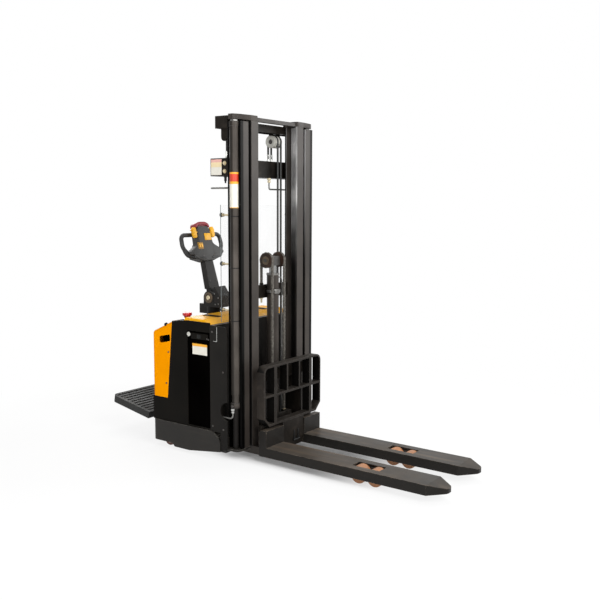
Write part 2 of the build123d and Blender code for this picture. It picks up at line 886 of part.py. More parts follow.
def make_backrest():
    foot = carriage_plate_top
    drop = backrest_side_bottom - foot
    outline = prism_x(
        [
            (-backrest_half_width, backrest_side_bottom),
            (-backrest_half_width, backrest_top),
            (backrest_half_width, backrest_top),
            (backrest_half_width, backrest_side_bottom),
            (backrest_half_width - drop, foot),
            (-backrest_half_width + drop, foot),
        ],
        backrest_x,
    )
    tops = outline.edges().filter_by(Axis.X).group_by(Axis.Z)[-1]
    outline = fillet(tops, backrest_corner)
    hollow = prism_x(
        [
            (-backrest_half_width + backrest_bar, backrest_side_bottom + backrest_bar / 2),
            (-backrest_half_width + backrest_bar, backrest_top - backrest_bar),
            (backrest_half_width - backrest_bar, backrest_top - backrest_bar),
            (backrest_half_width - backrest_bar, backrest_side_bottom + backrest_bar / 2),
            (backrest_half_width - drop - backrest_bar / 2, foot + backrest_bar),
            (-backrest_half_width + drop + backrest_bar / 2, foot + backrest_bar),
        ],
        backrest_x,
    )
    inner_tops = hollow.edges().filter_by(Axis.X).group_by(Axis.Z)[-1]
    hollow = fillet(inner_tops, backrest_corner - backrest_bar)
    grid = outline - hollow
    half = backrest_bar / 2
    grid += block(backrest_x, (-backrest_half_width + half, backrest_half_width - half),
                  (backrest_mid - half, backrest_mid + half))
    for side in (-1, 1):
        thick = side * backrest_thick_at
        grid += block(backrest_x, (thick - backrest_thick_bar / 2, thick + backrest_thick_bar / 2),
                      (foot, backrest_top - half))
        thin = side * backrest_thin_at
        grid += block(backrest_x, (thin - half, thin + half), (backrest_mid, backrest_top - half))
    return grid


save("load_backrest", make_backrest())

# Mast rollers on the inner uprights' feet and the outer uprights' heads
mast_roller_radius = upright_depth / 2 - upright_flange - mast_roller_gap


def make_mast_roller(level):
    side_end = outer_web_edge - mast_roller_side_gap
    side = (side_end - mast_roller_width, side_end)
    wheel = rod_y(mast_roller_radius, side_cylinder_x, side, level)
    return wheel + rod_y(mast_roller_axle, side_cylinder_x, (inner_outer_edge, side[0]), level)


roller_low = inner_upright_bottom + mast_roller_rise
roller_high = roller_low + mast_roller_pitch
save("mast_rollers", *both_sides(make_mast_roller(roller_low)), *both_sides(make_mast_roller(roller_high)))

# Chassis: rear deck, battery floor, bulkheads and the cross member that carries the mast and the legs
body_rear = setback(body_rear_setback)
bulkhead_x = setback(bulkhead_setback)
steer_x = setback(steer_setback)
castor_x = setback(castor_setback)
castor_sweep = hypot(castor_trail + castor_wheel_diameter / 2, castor_wheel_width / 2)
castor_side = body_half_width - skirt_wall - castor_skirt_gap - castor_sweep
deck_top = deck_level + deck_plate


def make_chassis():
    inside = (-panel_in, panel_in)
    deck = block((body_rear + skirt_wall, bulkhead_x), inside, (deck_level, deck_top))
    deck -= rod_z(bearing_radius, steer_x, 0, (deck_level, deck_top))
    frame = deck + block((bulkhead_x, bulkhead_x + wall_plate), inside,
                         (floor_level, panel_top - 2 * wall_plate))
    frame += block((bulkhead_x, front_wall_x), inside, (floor_level, floor_level + wall_plate))
    frame += block((front_wall_x, front_wall_x + wall_plate), inside, (floor_level, hood_edge))
    frame += block((setback(hood_front_setback) - hood_lap, front_wall_x), inside,
                   (hood_edge - wall_plate, hood_edge))
    frame += block((front_wall_x, mast_rear), inside, (crossmember_bottom, crossmember_top))
    inner_gap = outer_inner_edge - foot_inset
    foot = block((mast_rear, mast_front), (inner_gap, panel_in),
                 (outer_upright_bottom - mast_foot_plate, outer_upright_bottom))
    outer_corner = foot.edges().filter_by(Axis.Z).group_by(Axis.X)[-1].sort_by(Axis.Y)[-1]
    for part in both_sides(fillet(outer_corner, mast_foot_corner)):
        frame += part
    for side in (-1, 1):
        frame += rod_z(spring_tower_radius, castor_x, side * castor_side, (castor_bracket_top, deck_level))
        rib = side * (panel_in - wall_plate / 2)
        frame += block((body_rear + skirt_corner, bulkhead_x), (rib - wall_plate / 2, rib + wall_plate / 2),
                       (skirt_top - 2 * wall_plate, deck_level))
        frame -= rod_z(castor_pin_radius + running_gap, castor_x, side * castor_side,
                       (castor_bracket_top, castor_bracket_top + castor_pin_length + castor_pin_gap))
    return frame


save("chassis_frame", make_chassis())


def make_skirt():
    """Bumper skirt: two side walls and a rounded rear wall, with the platform's hinge lugs."""
    front = setback(skirt_front_setback)
    rear = body_rear - skirt_wall
    arch_end = castor_x + castor_trail + castor_wheel_diameter / 2
    side_view = [
        (rear, skirt_arch),
        (arch_end, skirt_arch),
        (arch_end + skirt_arch - skirt_bottom, skirt_bottom),
        (setback(bulkhead_setback), skirt_bottom),
        (front, skirt_bottom + skirt_front_rise),
        (front, skirt_top),
        (rear, skirt_top),
    ]
    shell = prism_y(side_view, (-body_half_width, body_half_width))
    front_top = shell.edges().filter_by(Axis.Y).group_by(Axis.X)[-1].sort_by(Axis.Z)[-1]
    shell = fillet(front_top, skirt_front_radius)
    shell = fillet(shell.edges().filter_by(Axis.Z).group_by(Axis.X)[0], skirt_corner)
    inner = body_half_width - skirt_wall
    cavity = block((body_rear, front + 1), (-inner, inner), (0, skirt_top + 1))
    cavity = fillet(cavity.edges().filter_by(Axis.Z).group_by(Axis.X)[0], skirt_corner - skirt_wall)
    shell -= cavity
    hinge_x = setback(hinge_setback)
    for side in (-1, 1):
        for offset in (-1, 1):
            apart = hinge_arm_width / 2 + hinge_side_gap + hinge_lug_width / 2
            middle = side * hinge_arm_side + offset * apart
            lug_y = (middle - hinge_lug_width / 2, middle + hinge_lug_width / 2)
            lug = block((hinge_x, rear), lug_y,
                        (hinge_level - hinge_boss_radius, hinge_level + hinge_boss_radius))
            shell += lug + rod_y(hinge_boss_radius, hinge_x, lug_y, hinge_level)
        reach = hinge_arm_width / 2 + hinge_side_gap
        pin_y = (side * hinge_arm_side - reach, side * hinge_arm_side + reach)
        shell += rod_y(hinge_pin_radius, hinge_x, pin_y, hinge_level)
    return shell


save("bumper_skirt", make_skirt())

# Side panels, front plates and yellow rear side covers
panel_y = (panel_in, panel_out)
recess_x = (setback(recess_rear_setback), setback(front_plate_rear_setback))
cover_top_x = setback(cover_front_top_setback)
cover_bottom_x = setback(cover_front_bottom_setback)
slope_x = setback(slope_front_setback)
hood_rear = setback(hood_rear_setback)
stop_x = hood_rear - stop_hood_gap - stop_head_radius
slope_rise = (slope_high - slope_low) / (slope_x - body_rear)


def make_side_panel():
    panel = prism_y(
        [
            (body_rear, skirt_top),
            (recess_x[1], skirt_top),
            (recess_x[1], rim_top),
            (recess_x[0], rim_top),
            (cover_top_x, panel_top),
            (cover_bottom_x, cover_bottom),
            (body_rear, cover_bottom),
        ],
        panel_y,
    )
    return panel - block(recess_x, (panel_out - recess_depth, panel_out + 1), (recess_bottom, recess_top))


save_group("side_panels", make_side_panel())


def make_front_plate():
    rear = recess_x[1]
    front = setback(front_plate_setback)
    plate = prism_y(
        [
            (rear, skirt_top),
            (setback(skirt_front_setback), skirt_top),
            (setback(skirt_front_setback), front_plate_bottom - front_plate_slope),
            (front, front_plate_bottom),
            (front, panel_top),
            (rear, panel_top),
        ],
        panel_y,
    )
    plate -= rod_y(notch_radius, front, (panel_in - 1, panel_out + 1), notch_level)
    top_corner = plate.edges().filter_by(Axis.Y).group_by(Axis.Z)[-1].sort_by(Axis.X)[-1]
    return fillet(top_corner, notch_radius / 2)


save_group("front_plates", make_front_plate())


def make_side_cover():
    """Shell with a side wall, a rear return and a sloped top return, and a hand-hold in the side."""
    view = [
        (body_rear, cover_bottom),
        (cover_bottom_x, cover_bottom),
        (cover_top_x, panel_top),
        (slope_x, slope_high),
        (body_rear, slope_low),
    ]
    solid = prism_y(view, (panel_out - cover_return, panel_out))
    top_corner = solid.edges().filter_by(Axis.Y).group_by(Axis.X)[0].sort_by(Axis.Z)[-1]
    solid = fillet(top_corner, cover_corner)
    rear_corner = solid.edges().filter_by(Axis.Z).group_by(Axis.X)[0].sort_by(Axis.Y)[-1]
    solid = fillet(rear_corner, platform_corner / 2)
    cut = [
        (body_rear + cover_wall, cover_bottom - 1),
        (cover_bottom_x + cover_wall, cover_bottom - 1),
        (cover_top_x + 2 * cover_wall, panel_top + cover_wall),
        (slope_x, slope_high - cover_wall),
        (body_rear + cover_wall, slope_low - cover_wall),
    ]
    solid -= prism_y(cut, (panel_out - cover_return - 1, panel_out - cover_wall))
    hold_x = setback(hand_hold_setback)
    half = hand_hold_length / 2
    rise = hand_hold_height / 2
    grip = prism_y(
        [
            (hold_x - half, hand_hold_level - rise),
            (hold_x + half, hand_hold_level - rise + slope_rise * half),
            (hold_x + half, hand_hold_level + rise + slope_rise * half),
            (hold_x - half, hand_hold_level + rise),
        ],
        (panel_out - 2 * cover_wall, panel_out + 1),
    )
    grip = fillet(grip.edges().filter_by(Axis.Y), rise / 2)
    return solid - grip


save_group("side_covers", make_side_cover())

rear_cover_half = panel_out - cover_return
rear_wall_x = (body_rear, body_rear + panel_wall)
rear_cover = block(rear_wall_x, (-rear_cover_half, rear_cover_half), (skirt_top, slope_low))
rear_cover += block(rear_wall_x, (-panel_in, panel_in), (skirt_top, cover_bottom))
save("rear_cover", rear_cover)


def make_top_deck():
    """Sloped and flat deck behind the hood, with the tiller neck's hole."""
    view = [
        (body_rear, slope_low),
        (slope_x, slope_high),
        (cover_top_x, panel_top),
        (hood_rear + hood_lap, panel_top),
        (hood_rear + hood_lap, panel_top - panel_wall),
        (slope_x, panel_top - 2 * panel_wall),
        (body_rear, slope_low - panel_wall),
    ]
    deck = prism_y(view, (-rear_cover_half, rear_cover_half))
    deck -= block(rear_wall_x, (-rear_cover_half, rear_cover_half), (0, slope_low))
    edge = block((cover_top_x + seam_gap, hood_rear), (rear_cover_half, panel_in),
                 (panel_top - panel_wall, panel_top))
    for part in both_sides(edge):
        deck += part
    deck -= rod_z(neck_radius + neck_hole_gap, steer_x, 0, (slope_low, rim_top))
    return deck - rod_z(stop_stem_radius + running_gap, stop_x, -stop_side, (slope_low, rim_top))


save("top_deck", make_top_deck())


def make_hood():
    """Battery hood with a low crown, a slanted front edge and a hand slot on each side."""
    front = setback(hood_front_setback)
    edge = panel_in - seam_gap
    slant = 2 * hood_rise

    def shell(inset, drop):
        view = [
            (hood_rear - (inset > 0), hood_edge),
            (hood_rear - (inset > 0), hood_crown - drop),
            (front - slant - inset, hood_crown - drop),
            (front - inset, hood_edge),
        ]
        body = prism_y(view, (-edge + inset, edge - inset))
        chamfered = body.edges().filter_by(Axis.X).group_by(Axis.Z)[-1]
        return chamfer(chamfered, hood_rise / 2)

    hood = shell(0, 0) - shell(hood_wall, hood_wall)
    slot_x = setback(hood_slot_setback)
    for slot_y in (-hood_slot_side, hood_slot_side):
        slot = block((slot_x - hood_slot_length / 2, slot_x + hood_slot_length / 2),
                     (slot_y - hood_slot_width / 2, slot_y + hood_slot_width / 2),
                     (hood_edge, hood_crown + 1))
        hood -= fillet(slot.edges().filter_by(Axis.Z), hood_slot_width / 3)
    return hood


save("battery_hood", make_hood())

# Battery, pump unit and controller inside the body
bay_x = (bulkhead_x + wall_plate + inside_gap, front_wall_x - inside_gap)
floor_top = floor_level + wall_plate
battery = block(bay_x, (-panel_in + inside_gap, pump_side), (floor_top, battery_top))
save("battery", fillet(battery.edges().filter_by(Axis.Z), inside_gap))
pump_x = (bay_x[0] + bay_x[1]) / 2
pump_y = (pump_side + panel_in) / 2
pump = block(bay_x, (pump_side + 2 * inside_gap, panel_in - inside_gap), (floor_top, tank_top))
pump += rod_z(pump_motor_radius, pump_x, pump_y, (tank_top, tank_top + pump_motor_height))
save("pump_unit", pump)
controller_bottom = deck_top + controller_rise
controller = block((bulkhead_x - controller_depth, bulkhead_x), (pump_side, pump_side + controller_width),
                   (controller_bottom, controller_bottom + controller_height))
save("controller", controller)

# Drive unit under the tiller: turntable, gearbox, motor, steering neck and tiller base turn together
drive_radius = drive_wheel_diameter / 2
turntable_bottom = deck_level - (turntable_thickness - deck_plate) / 2
turntable_top = turntable_bottom + turntable_thickness
motor_top = turntable_top + motor_height
gear_start = drive_wheel_width / 2 + gearbox_gap
gear_y = (gear_start, gear_start + gearbox_depth)
bearing = rod_z(bearing_radius - bearing_fit, steer_x, 0, (deck_level, deck_top))
bearing -= rod_z(turntable_radius + running_gap, steer_x, 0, (deck_level, deck_top))
save("steering_bearing", bearing)


def make_drive_unit():
    unit = rod_z(turntable_radius, steer_x, 0, (turntable_bottom, turntable_top))
    unit += rod_z(motor_radius, steer_x, 0, (turntable_top, motor_top))
    unit += rod_z(neck_radius, steer_x, 0, (motor_top, tiller_base_bottom))
    half = drive_axle_radius * 2
    case = block((steer_x - half, steer_x + half), gear_y, (drive_radius, turntable_bottom))
    case += rod_y(half, steer_x, gear_y, drive_radius)
    axle = rod_y(drive_axle_radius, steer_x, (-drive_wheel_width / 2, gear_y[0]), drive_radius)
    return unit + case + axle


save("drive_unit", make_drive_unit())


def make_drive_wheel():
    side = (-drive_wheel_width / 2, drive_wheel_width / 2)
    wheel = rod_y(drive_radius, steer_x, side, drive_radius)
    wheel = fillet(wheel.edges().filter_by(GeomType.CIRCLE), drive_axle_radius / 2)
    return wheel - rod_y(drive_axle_radius + running_gap, steer_x, side, drive_radius)


save("drive_wheel", make_drive_wheel())
pivot_x = steer_x + tiller_pivot_offset
cheek_y = (cheek_inner, cheek_inner + cheek_wall)


def make_tiller_base():
    low = tiller_pivot_level - cheek_radius
    half = cheek_inner + cheek_wall
    base = rod_z(neck_radius, steer_x, 0, (tiller_base_bottom, low))
    base += block((steer_x - 2 * neck_radius, steer_x), (-cheek_inner, cheek_inner),
                  (tiller_base_bottom, low))
    side = rod_y(cheek_radius, pivot_x, cheek_y, tiller_pivot_level)
    side += block((pivot_x - cheek_radius, pivot_x + cheek_radius), cheek_y,
                  (low - cheek_wall, tiller_pivot_level))
    for part in both_sides(side):
        base += part
    front = pivot_x + housing_reach
    housing_top = tiller_pivot_level + housing_rise
    housing = prism_y(
        [
            (pivot_x + cheek_radius + housing_gap, low - cheek_wall),
            (front, low - cheek_wall),
            (front, tiller_pivot_level + cheek_wall),
            (front - housing_slope, housing_top),
            (pivot_x + cheek_radius + housing_gap, housing_top),
        ],
        (-half, half),
    )
    base += block((steer_x, front), (-half, half), (low - cheek_wall, low))
    base += housing
    return base + rod_y(hinge_pin_radius, pivot_x, (-half, half), tiller_pivot_level)


save("tiller_base", make_tiller_base())

# Tiller arm and head are drawn upright over the pivot, then leaned back towards the operator
lean = Pos(pivot_x, 0, tiller_pivot_level) * Rot(0, -tiller_lean, 0)
hub_half = cheek_inner - arm_hub_gap
hub_radius = cheek_radius - hub_inset


def make_arm():
    arm = rod_y(hub_radius, 0, (-hub_half, hub_half), 0)
    arm += block((-arm_depth / 2, arm_depth / 2), (-hub_half, hub_half), (0, arm_start))
    arm -= rod_y(hinge_pin_radius + running_gap, 0, (-hub_half, hub_half), 0)
    blade = prism_x(
        [
            (-arm_width_low / 2, arm_start),
            (arm_width_low / 2, arm_start),
            (arm_width_high / 2, head_start),
            (-arm_width_high / 2, head_start),
        ],
        (-arm_depth / 2, arm_depth / 2),
    )
    return lean * (arm + blade)


save("tiller_arm", make_arm())

grip_points = [
    (head_upper_half - grip_embed, grip_high_level),
    (grip_half_width - grip_shoulder, grip_high_level),
    (grip_half_width, grip_high_level - grip_side_drop),
    (head_wing_half, grip_low_level),
    (head_upper_half - grip_embed, grip_low_level - grip_foot_drop),
]


def make_grip():
    points = [(-grip_depth, y, v) for y, v in grip_points]
    path = FilletPolyline(*points, radius=[grip_top_bend, grip_side_bend, grip_side_bend])
    return sweep(Plane(origin=path @ 0, z_dir=path % 0) * Circle(grip_radius), path)


head_mid = (head_front - head_back) / 2


def button_place(index):
    """Middle of a lift button on the head's face, as (y, along the arm)."""
    return -button_side + (index - 0.5) * button_pitch, button_level


def make_head():
    half = arm_width_high / 2 + head_neck
    outline = [
        (-half, head_start),
        (half, head_start),
        (head_wing_half, grip_low_level - grip_radius),
        (head_wing_half, grip_low_level + grip_radius),
        (head_upper_half + head_flare, button_level + head_shoulder),
        (head_upper_half, head_top - head_corner),
        (head_upper_half - head_corner, head_top),
        (-head_upper_half + head_corner, head_top),
        (-head_upper_half, head_top - head_corner),
        (-head_upper_half - head_flare, button_level + head_shoulder),
        (-head_wing_half, grip_low_level + grip_radius),
        (-head_wing_half, grip_low_level - grip_radius),
    ]
    head = prism_x(outline, (-head_back, head_front))
    long_edges = head.edges().filter_by(Plane.YZ).group_by(Axis.X)
    head = fillet(long_edges[-1], head_edge)
    head -= block((head_mid - tongue_depth, head_mid + tongue_depth), (-tongue_half, tongue_half),
                  (head_top - tongue_pocket, head_top))
    head -= rod_y(butterfly_shaft_radius + running_gap, butterfly_depth,
                  (-head_wing_half, head_wing_half), butterfly_level)
    for index in (0, 1):
        y, v = button_place(index)
        pocket = button_width / 2 + turning_gap
        head -= block((head_front - button_depth, head_front), (y - pocket, y + pocket),
                      (v - button_length / 2 - turning_gap, v + button_length / 2 + turning_gap))
    return head


head_solid = make_head()
grips = [shape - head_solid for shape in both_sides(make_grip())]
save("tiller_head", lean * head_solid)
save("grip_loops", *[lean * shape.solids().sort_by(SortBy.VOLUME)[-1] for shape in grips])


def make_belly_button():
    low = head_top + belly_travel + belly_gap
    cap = prism_x(
        [
            (-head_upper_half, low),
            (head_upper_half, low),
            (head_upper_half - belly_corner, low + belly_height / 2),
            (head_upper_half / 2, low + belly_height),
            (-head_upper_half / 2, low + belly_height),
            (-head_upper_half + belly_corner, low + belly_height / 2),
        ],
        (head_mid - tongue_depth - belly_rim, head_mid + tongue_depth + belly_rim),
    )
    tongue_end = head_top - tongue_pocket + belly_travel + belly_gap
    tongue = block((head_mid - tongue_depth + tongue_gap, head_mid + tongue_depth - tongue_gap),
                   (-tongue_half + tongue_gap, tongue_half - tongue_gap), (tongue_end, low))
    return lean * (cap + tongue)


save("belly_button", make_belly_button())


def make_butterflies():
    edge = head_upper_half + head_flare + butterfly_gap
    shaft = rod_y(butterfly_shaft_radius, butterfly_depth, (-edge, edge), butterfly_level)
    thick = butterfly_shaft_radius + butterfly_hub_wall
    wing = block((butterfly_depth - thick / 2, butterfly_depth + thick / 2), (edge, edge + butterfly_width),
                 (butterfly_level - butterfly_half_length, butterfly_level + butterfly_half_length))
    wing = fillet(wing.edges().filter_by(Axis.X), butterfly_width / 4)
    wing += rod_y(thick, butterfly_depth, (edge, edge + butterfly_width), butterfly_level)
    for part in both_sides(wing):
        shaft += part
    return lean * shaft


save("throttle_butterflies", make_butterflies())


def make_button(index):
    y, v = button_place(index)
    cap_end = head_front - button_depth + button_travel + button_floor_gap
    cap = block((cap_end, head_front + button_height),
                (y - button_width / 2, y + button_width / 2),
                (v - button_length / 2, v + button_length / 2))
    return lean * fillet(cap.edges().filter_by(Axis.X), button_width / 4)


save("raise_button", make_button(1))
save("lower_button", make_button(0))

# Emergency stop with a mushroom head
stop_under = panel_top + stop_travel + stop_stem_rise
stop_stem_bottom = panel_top - panel_wall - stop_stem_below
stop_button = rod_z(stop_stem_radius, stop_x, -stop_side, (stop_stem_bottom, stop_under))
mushroom = rod_z(stop_head_radius, stop_x, -stop_side, (stop_under, stop_under + stop_head_height))
stop_button += fillet(mushroom.edges().group_by(Axis.Z)[-1], stop_head_height / 3)
save("stop_button", stop_button)

# Stabiliser castors that swivel under sprung towers
castor_radius = castor_wheel_diameter / 2
castor_wheel_x = castor_x - castor_trail


def make_castor_bracket():
    gap = castor_wheel_width / 2 + castor_fork_gap
    plate_bottom = castor_wheel_diameter + castor_wheel_gap
    plate_top = castor_bracket_top - castor_pin_gap
    bracket = rod_z(spring_tower_radius, castor_x, castor_side, (plate_bottom, plate_top))
    bracket += rod_z(castor_pin_radius, castor_x, castor_side,
                     (plate_top, castor_bracket_top + castor_pin_length))
    for offset in (-gap - castor_wall, gap):
        side = (castor_side + offset, castor_side + offset + castor_wall)
        leg = prism_y(
            [
                (castor_x - spring_tower_radius / 2, plate_bottom + castor_wall),
                (castor_x + spring_tower_radius / 2, plate_bottom + castor_wall),
                (castor_wheel_x + 2 * castor_axle_radius, castor_radius),
                (castor_wheel_x - 2 * castor_axle_radius, castor_radius),
            ],
            side,
        )
        bracket += leg + rod_y(2 * castor_axle_radius, castor_wheel_x, side, castor_radius)
    axle_y = (castor_side - gap, castor_side + gap)
    return bracket + rod_y(castor_axle_radius, castor_wheel_x, axle_y, castor_radius)


save_pair("castor_bracket", make_castor_bracket())


def make_castor_wheel():
    side = (castor_side - castor_wheel_width / 2, castor_side + castor_wheel_width / 2)
    wheel = rod_y(castor_radius, castor_wheel_x, side, castor_radius)
    wheel = fillet(wheel.edges().filter_by(GeomType.CIRCLE), castor_axle_radius / 2)
    return wheel - rod_y(castor_axle_radius + running_gap, castor_wheel_x, side, castor_radius)


save_pair("castor_wheel", make_castor_wheel())

# Operator platform, drawn level behind its hinge and then tilted up
hinge_x = setback(hinge_setback)


def make_platform():
    top = platform_top_offset
    tread = top - platform_rib_height
    outer = block((-platform_reach, -platform_start), (-platform_half_width, platform_half_width),
                  (platform_low, top))
    outer = fillet(outer.edges().filter_by(Axis.Z).group_by(Axis.X)[0], platform_corner)
    tread_y = (-platform_half_width + platform_rim, platform_half_width - platform_rim)
    tray = block((-platform_reach + platform_rim, -platform_start - platform_rim), tread_y, (tread, top + 1))
    outer -= tray
    rib_pitch = (platform_reach - platform_start - 2 * platform_rim) / (platform_rib_count + 0.5)
    for rib in range(platform_rib_count):
        start = -platform_reach + platform_rim + (rib + 0.5) * rib_pitch
        outer += block((start, start + rib_pitch / 2), tread_y, (tread, top))
    for side in (-1, 1):
        span = (side * hinge_arm_side - hinge_arm_width / 2, side * hinge_arm_side + hinge_arm_width / 2)
        outer += block((-platform_start - seam_gap, 0), span, (platform_low, hinge_arm_top))
        outer += rod_y(hinge_boss_radius, 0, span, 0)
        outer -= rod_y(hinge_pin_radius + running_gap, 0, span, 0)
    return Pos(hinge_x, 0, hinge_level) * Rot(0, platform_tilt, 0) * outer


save("platform", make_platform())

# Clear guard behind the mast on its stand-off bolts
guard_x = setback(guard_setback)
guard_sheet_x = (guard_x, guard_x + guard_sheet)
guard_top = mid_beam_bottom - guard_top_gap
guard_bolt_low = guard_bottom + guard_bolt_low_rise
guard_bolt_high = guard_top - guard_bolt_high_drop
guard_bolt_middle = (guard_bolt_low + guard_bolt_high) / 2 - guard_bolt_middle_drop
guard_bolt_levels = (guard_bolt_low, guard_bolt_middle, guard_bolt_high)
bolt_side = (outer_inner_edge + outer_edge) / 2


def make_guard():
    sheet = block(guard_sheet_x, (-guard_half_width, guard_half_width), (guard_bottom, guard_top))
    for side in (-1, 1):
        for level in guard_bolt_levels:
            sheet -= rod_x(guard_bolt_radius + running_gap, guard_sheet_x, side * bolt_side, level)
    return sheet


save("mast_guard", make_guard())
bolts = []
for level in guard_bolt_levels:
    bolt = rod_x(guard_bolt_radius, (guard_x, mast_rear), bolt_side, level)
    bolt += rod_x(guard_bolt_head, (guard_x - guard_bolt_head, guard_x), bolt_side, level)
    bolt += rod_x(guard_bolt_head, (guard_sheet_x[1], guard_sheet_x[1] + guard_bolt_head), bolt_side, level)
    bolts += both_sides(bolt)
save("guard_bolts", *bolts)


# Lift hoses over the pulley and down behind the mast
def make_hose(y):
    bend = hose_pulley_radius
    top = pulley_z + bend
    path = FilletPolyline(
        (pulley_x - bend, y, mid_beam_top),
        (pulley_x - bend, y, top),
        (pulley_x + bend, y, top),
        (pulley_x + bend, y, crossmember_top),
        radius=bend - 0.01)
    return sweep(Plane(origin=path @ 0, z_dir=path % 0) * Circle(hose_radius), path)


hoses = [make_hose(hose_pulley_side + offset) for offset in (-hose_pitch / 2, hose_pitch / 2)]
hoses.append(rod_z(hose_radius, pulley_x, -near_hose_side, (mid_beam_top, top_beam_bottom)))
save("lift_hoses", *hoses)
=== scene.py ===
import json
from contextlib import contextmanager
from math import pi, radians, tau

import bmesh
import bpy
from bpy.props import FloatProperty, FloatVectorProperty, PointerProperty
from mathutils import Matrix, Vector


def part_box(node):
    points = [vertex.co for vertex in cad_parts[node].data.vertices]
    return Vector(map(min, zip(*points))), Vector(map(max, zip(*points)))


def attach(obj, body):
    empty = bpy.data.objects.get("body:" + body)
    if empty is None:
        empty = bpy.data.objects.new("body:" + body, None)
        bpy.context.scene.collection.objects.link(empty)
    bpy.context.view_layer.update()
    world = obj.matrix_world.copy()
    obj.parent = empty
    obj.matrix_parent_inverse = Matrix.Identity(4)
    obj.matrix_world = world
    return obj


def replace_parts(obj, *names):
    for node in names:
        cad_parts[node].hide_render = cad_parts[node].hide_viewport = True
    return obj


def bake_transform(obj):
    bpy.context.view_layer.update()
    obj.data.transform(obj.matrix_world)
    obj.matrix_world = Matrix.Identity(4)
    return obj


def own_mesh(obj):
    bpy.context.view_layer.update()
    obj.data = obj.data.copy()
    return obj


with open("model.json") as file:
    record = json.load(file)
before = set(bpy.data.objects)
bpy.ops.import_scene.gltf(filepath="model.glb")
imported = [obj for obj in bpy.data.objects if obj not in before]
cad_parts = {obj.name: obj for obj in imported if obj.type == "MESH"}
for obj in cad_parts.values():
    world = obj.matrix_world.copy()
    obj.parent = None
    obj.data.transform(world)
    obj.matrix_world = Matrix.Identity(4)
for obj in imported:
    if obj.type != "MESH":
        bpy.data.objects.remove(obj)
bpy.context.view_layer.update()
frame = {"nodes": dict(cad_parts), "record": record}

bl_info = {
    "name": "Electric stacker",
    "version": (1, 0, 0),
    "blender": (4, 5, 0),
    "location": "3D View > Sidebar > Stacker",
    "description": "Finishes and small pieces of an electric stacker on its CAD frame",
    "category": "Object",
}

NODES = frame["nodes"]
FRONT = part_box("inner_uprights")[1].x
SIDES = (-1, 1)
FORWARD, BACKWARD = (1, 0, 0), (-1, 0, 0)
LEFT, RIGHT = (0, 1, 0), (0, -1, 0)
UP, DOWN = (0, 0, 1), (0, 0, -1)


def spot(x, y, z):
    """A place in millimetres, x counted from the mast's front face, as a point of the frame."""
    return Vector((FRONT + x / 1000, y / 1000, z / 1000))


def middle_of(node):
    low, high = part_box(node)
    return (low + high) / 2


# Places that several pieces share: the side panels' face in millimetres, and the tiller's frame
PANEL_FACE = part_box("side_panels")[1].y * 1000
TILLER_PIVOT = spot(-545, 0, 951)
TILLER_LEAN = radians(-15)
TILLER = Matrix.Translation(TILLER_PIVOT) @ Matrix.Rotation(TILLER_LEAN, 4, "Y")


# Sizes and colours

def length(name, text, default):
    return FloatProperty(name=name, description=text, default=default, min=0.0001, unit="LENGTH")


def colour(name, default):
    return FloatVectorProperty(name=name, description=f"Colour of the {name.lower()}", default=default,
                               size=3, min=0.0, max=1.0, subtype="COLOR")


class StackerSizes(bpy.types.PropertyGroup):
    edge_round: length("Edge rounding", "Rounding of the plates' and profiles' edges", 0.0022)
    chain_plate: length("Chain plate", "Thickness of one plate of the leaf chain", 0.0028)
    chain_pin: length("Chain pin", "Radius of the chain's pins", 0.0032)
    hose_radius: length("Hose radius", "Outer radius of the lift hoses", 0.0065)
    screw_radius: length("Screw radius", "Head radius of the cover screws", 0.006)
    bolt_radius: length("Bolt radius", "Half the width of a hexagon bolt head", 0.0095)
    plate_thickness: length("Plate thickness", "Thickness of the blank plates", 0.0012)
    pipe_radius: length("Pipe radius", "Outer radius of the thin oil pipes", 0.005)


class StackerColours(bpy.types.PropertyGroup):
    mast: colour("Mast paint", (0.035, 0.029, 0.0245))
    carriage: colour("Carriage paint", (0.021, 0.0173, 0.0145))
    beam: colour("Beam paint", (0.01, 0.008, 0.0062))
    fork: colour("Fork paint", (0.038, 0.0305, 0.0238))
    cylinder: colour("Cylinder paint", (0.078, 0.0675, 0.059))
    body: colour("Body paint", (0.0052, 0.0044, 0.0034))
    plate: colour("Front plate paint", (0.0088, 0.0078, 0.0067))
    skirt: colour("Skirt paint", (0.017, 0.015, 0.0128))
    door: colour("Door paint", (0.001, 0.0008, 0.0007))
    cover: colour("Cover yellow", (0.98, 0.335, 0.0))
    hood: colour("Hood yellow", (0.93, 0.44, 0.004))
    key: colour("Key yellow", (0.88, 0.44, 0.004))
    stop: colour("Stop red", (0.5, 0.004, 0.006))
    belly: colour("Safety button red", (0.26, 0.01, 0.018))
    head: colour("Head plastic", (0.044, 0.043, 0.041))
    grip: colour("Grip plastic", (0.016, 0.0155, 0.015))
    tread: colour("Wheel tread", (0.4, 0.175, 0.075))
    rubber: colour("Rubber", (0.02, 0.02, 0.019))
    nylon: colour("Nylon", (0.56, 0.55, 0.5))
    blank: colour("Blank plate", (0.8, 0.77, 0.68))
    band: colour("Plate band", (0.9, 0.42, 0.03))


# Shader nodes

def add_node(tree, kind, **settings):
    node = tree.nodes.new(kind)
    for key, value in settings.items():
        setattr(node, key, value)
    return node


def join(source, target):
    target.id_data.links.new(source, target)


def feed(socket, value):
    """Link an input to an output, or set it to a plain value."""
    if isinstance(value, bpy.types.NodeSocket):
        join(value, socket)
    else:
        socket.default_value = value


def place_of(tree):
    return add_node(tree, "ShaderNodeTexCoord").outputs["Object"]


def normal_of(tree):
    return add_node(tree, "ShaderNodeNewGeometry").outputs["Normal"]


def split(vector):
    """A vector's X, Y and Z."""
    node = add_node(vector.id_data, "ShaderNodeSeparateXYZ")
    join(vector, node.inputs[0])
    return node.outputs


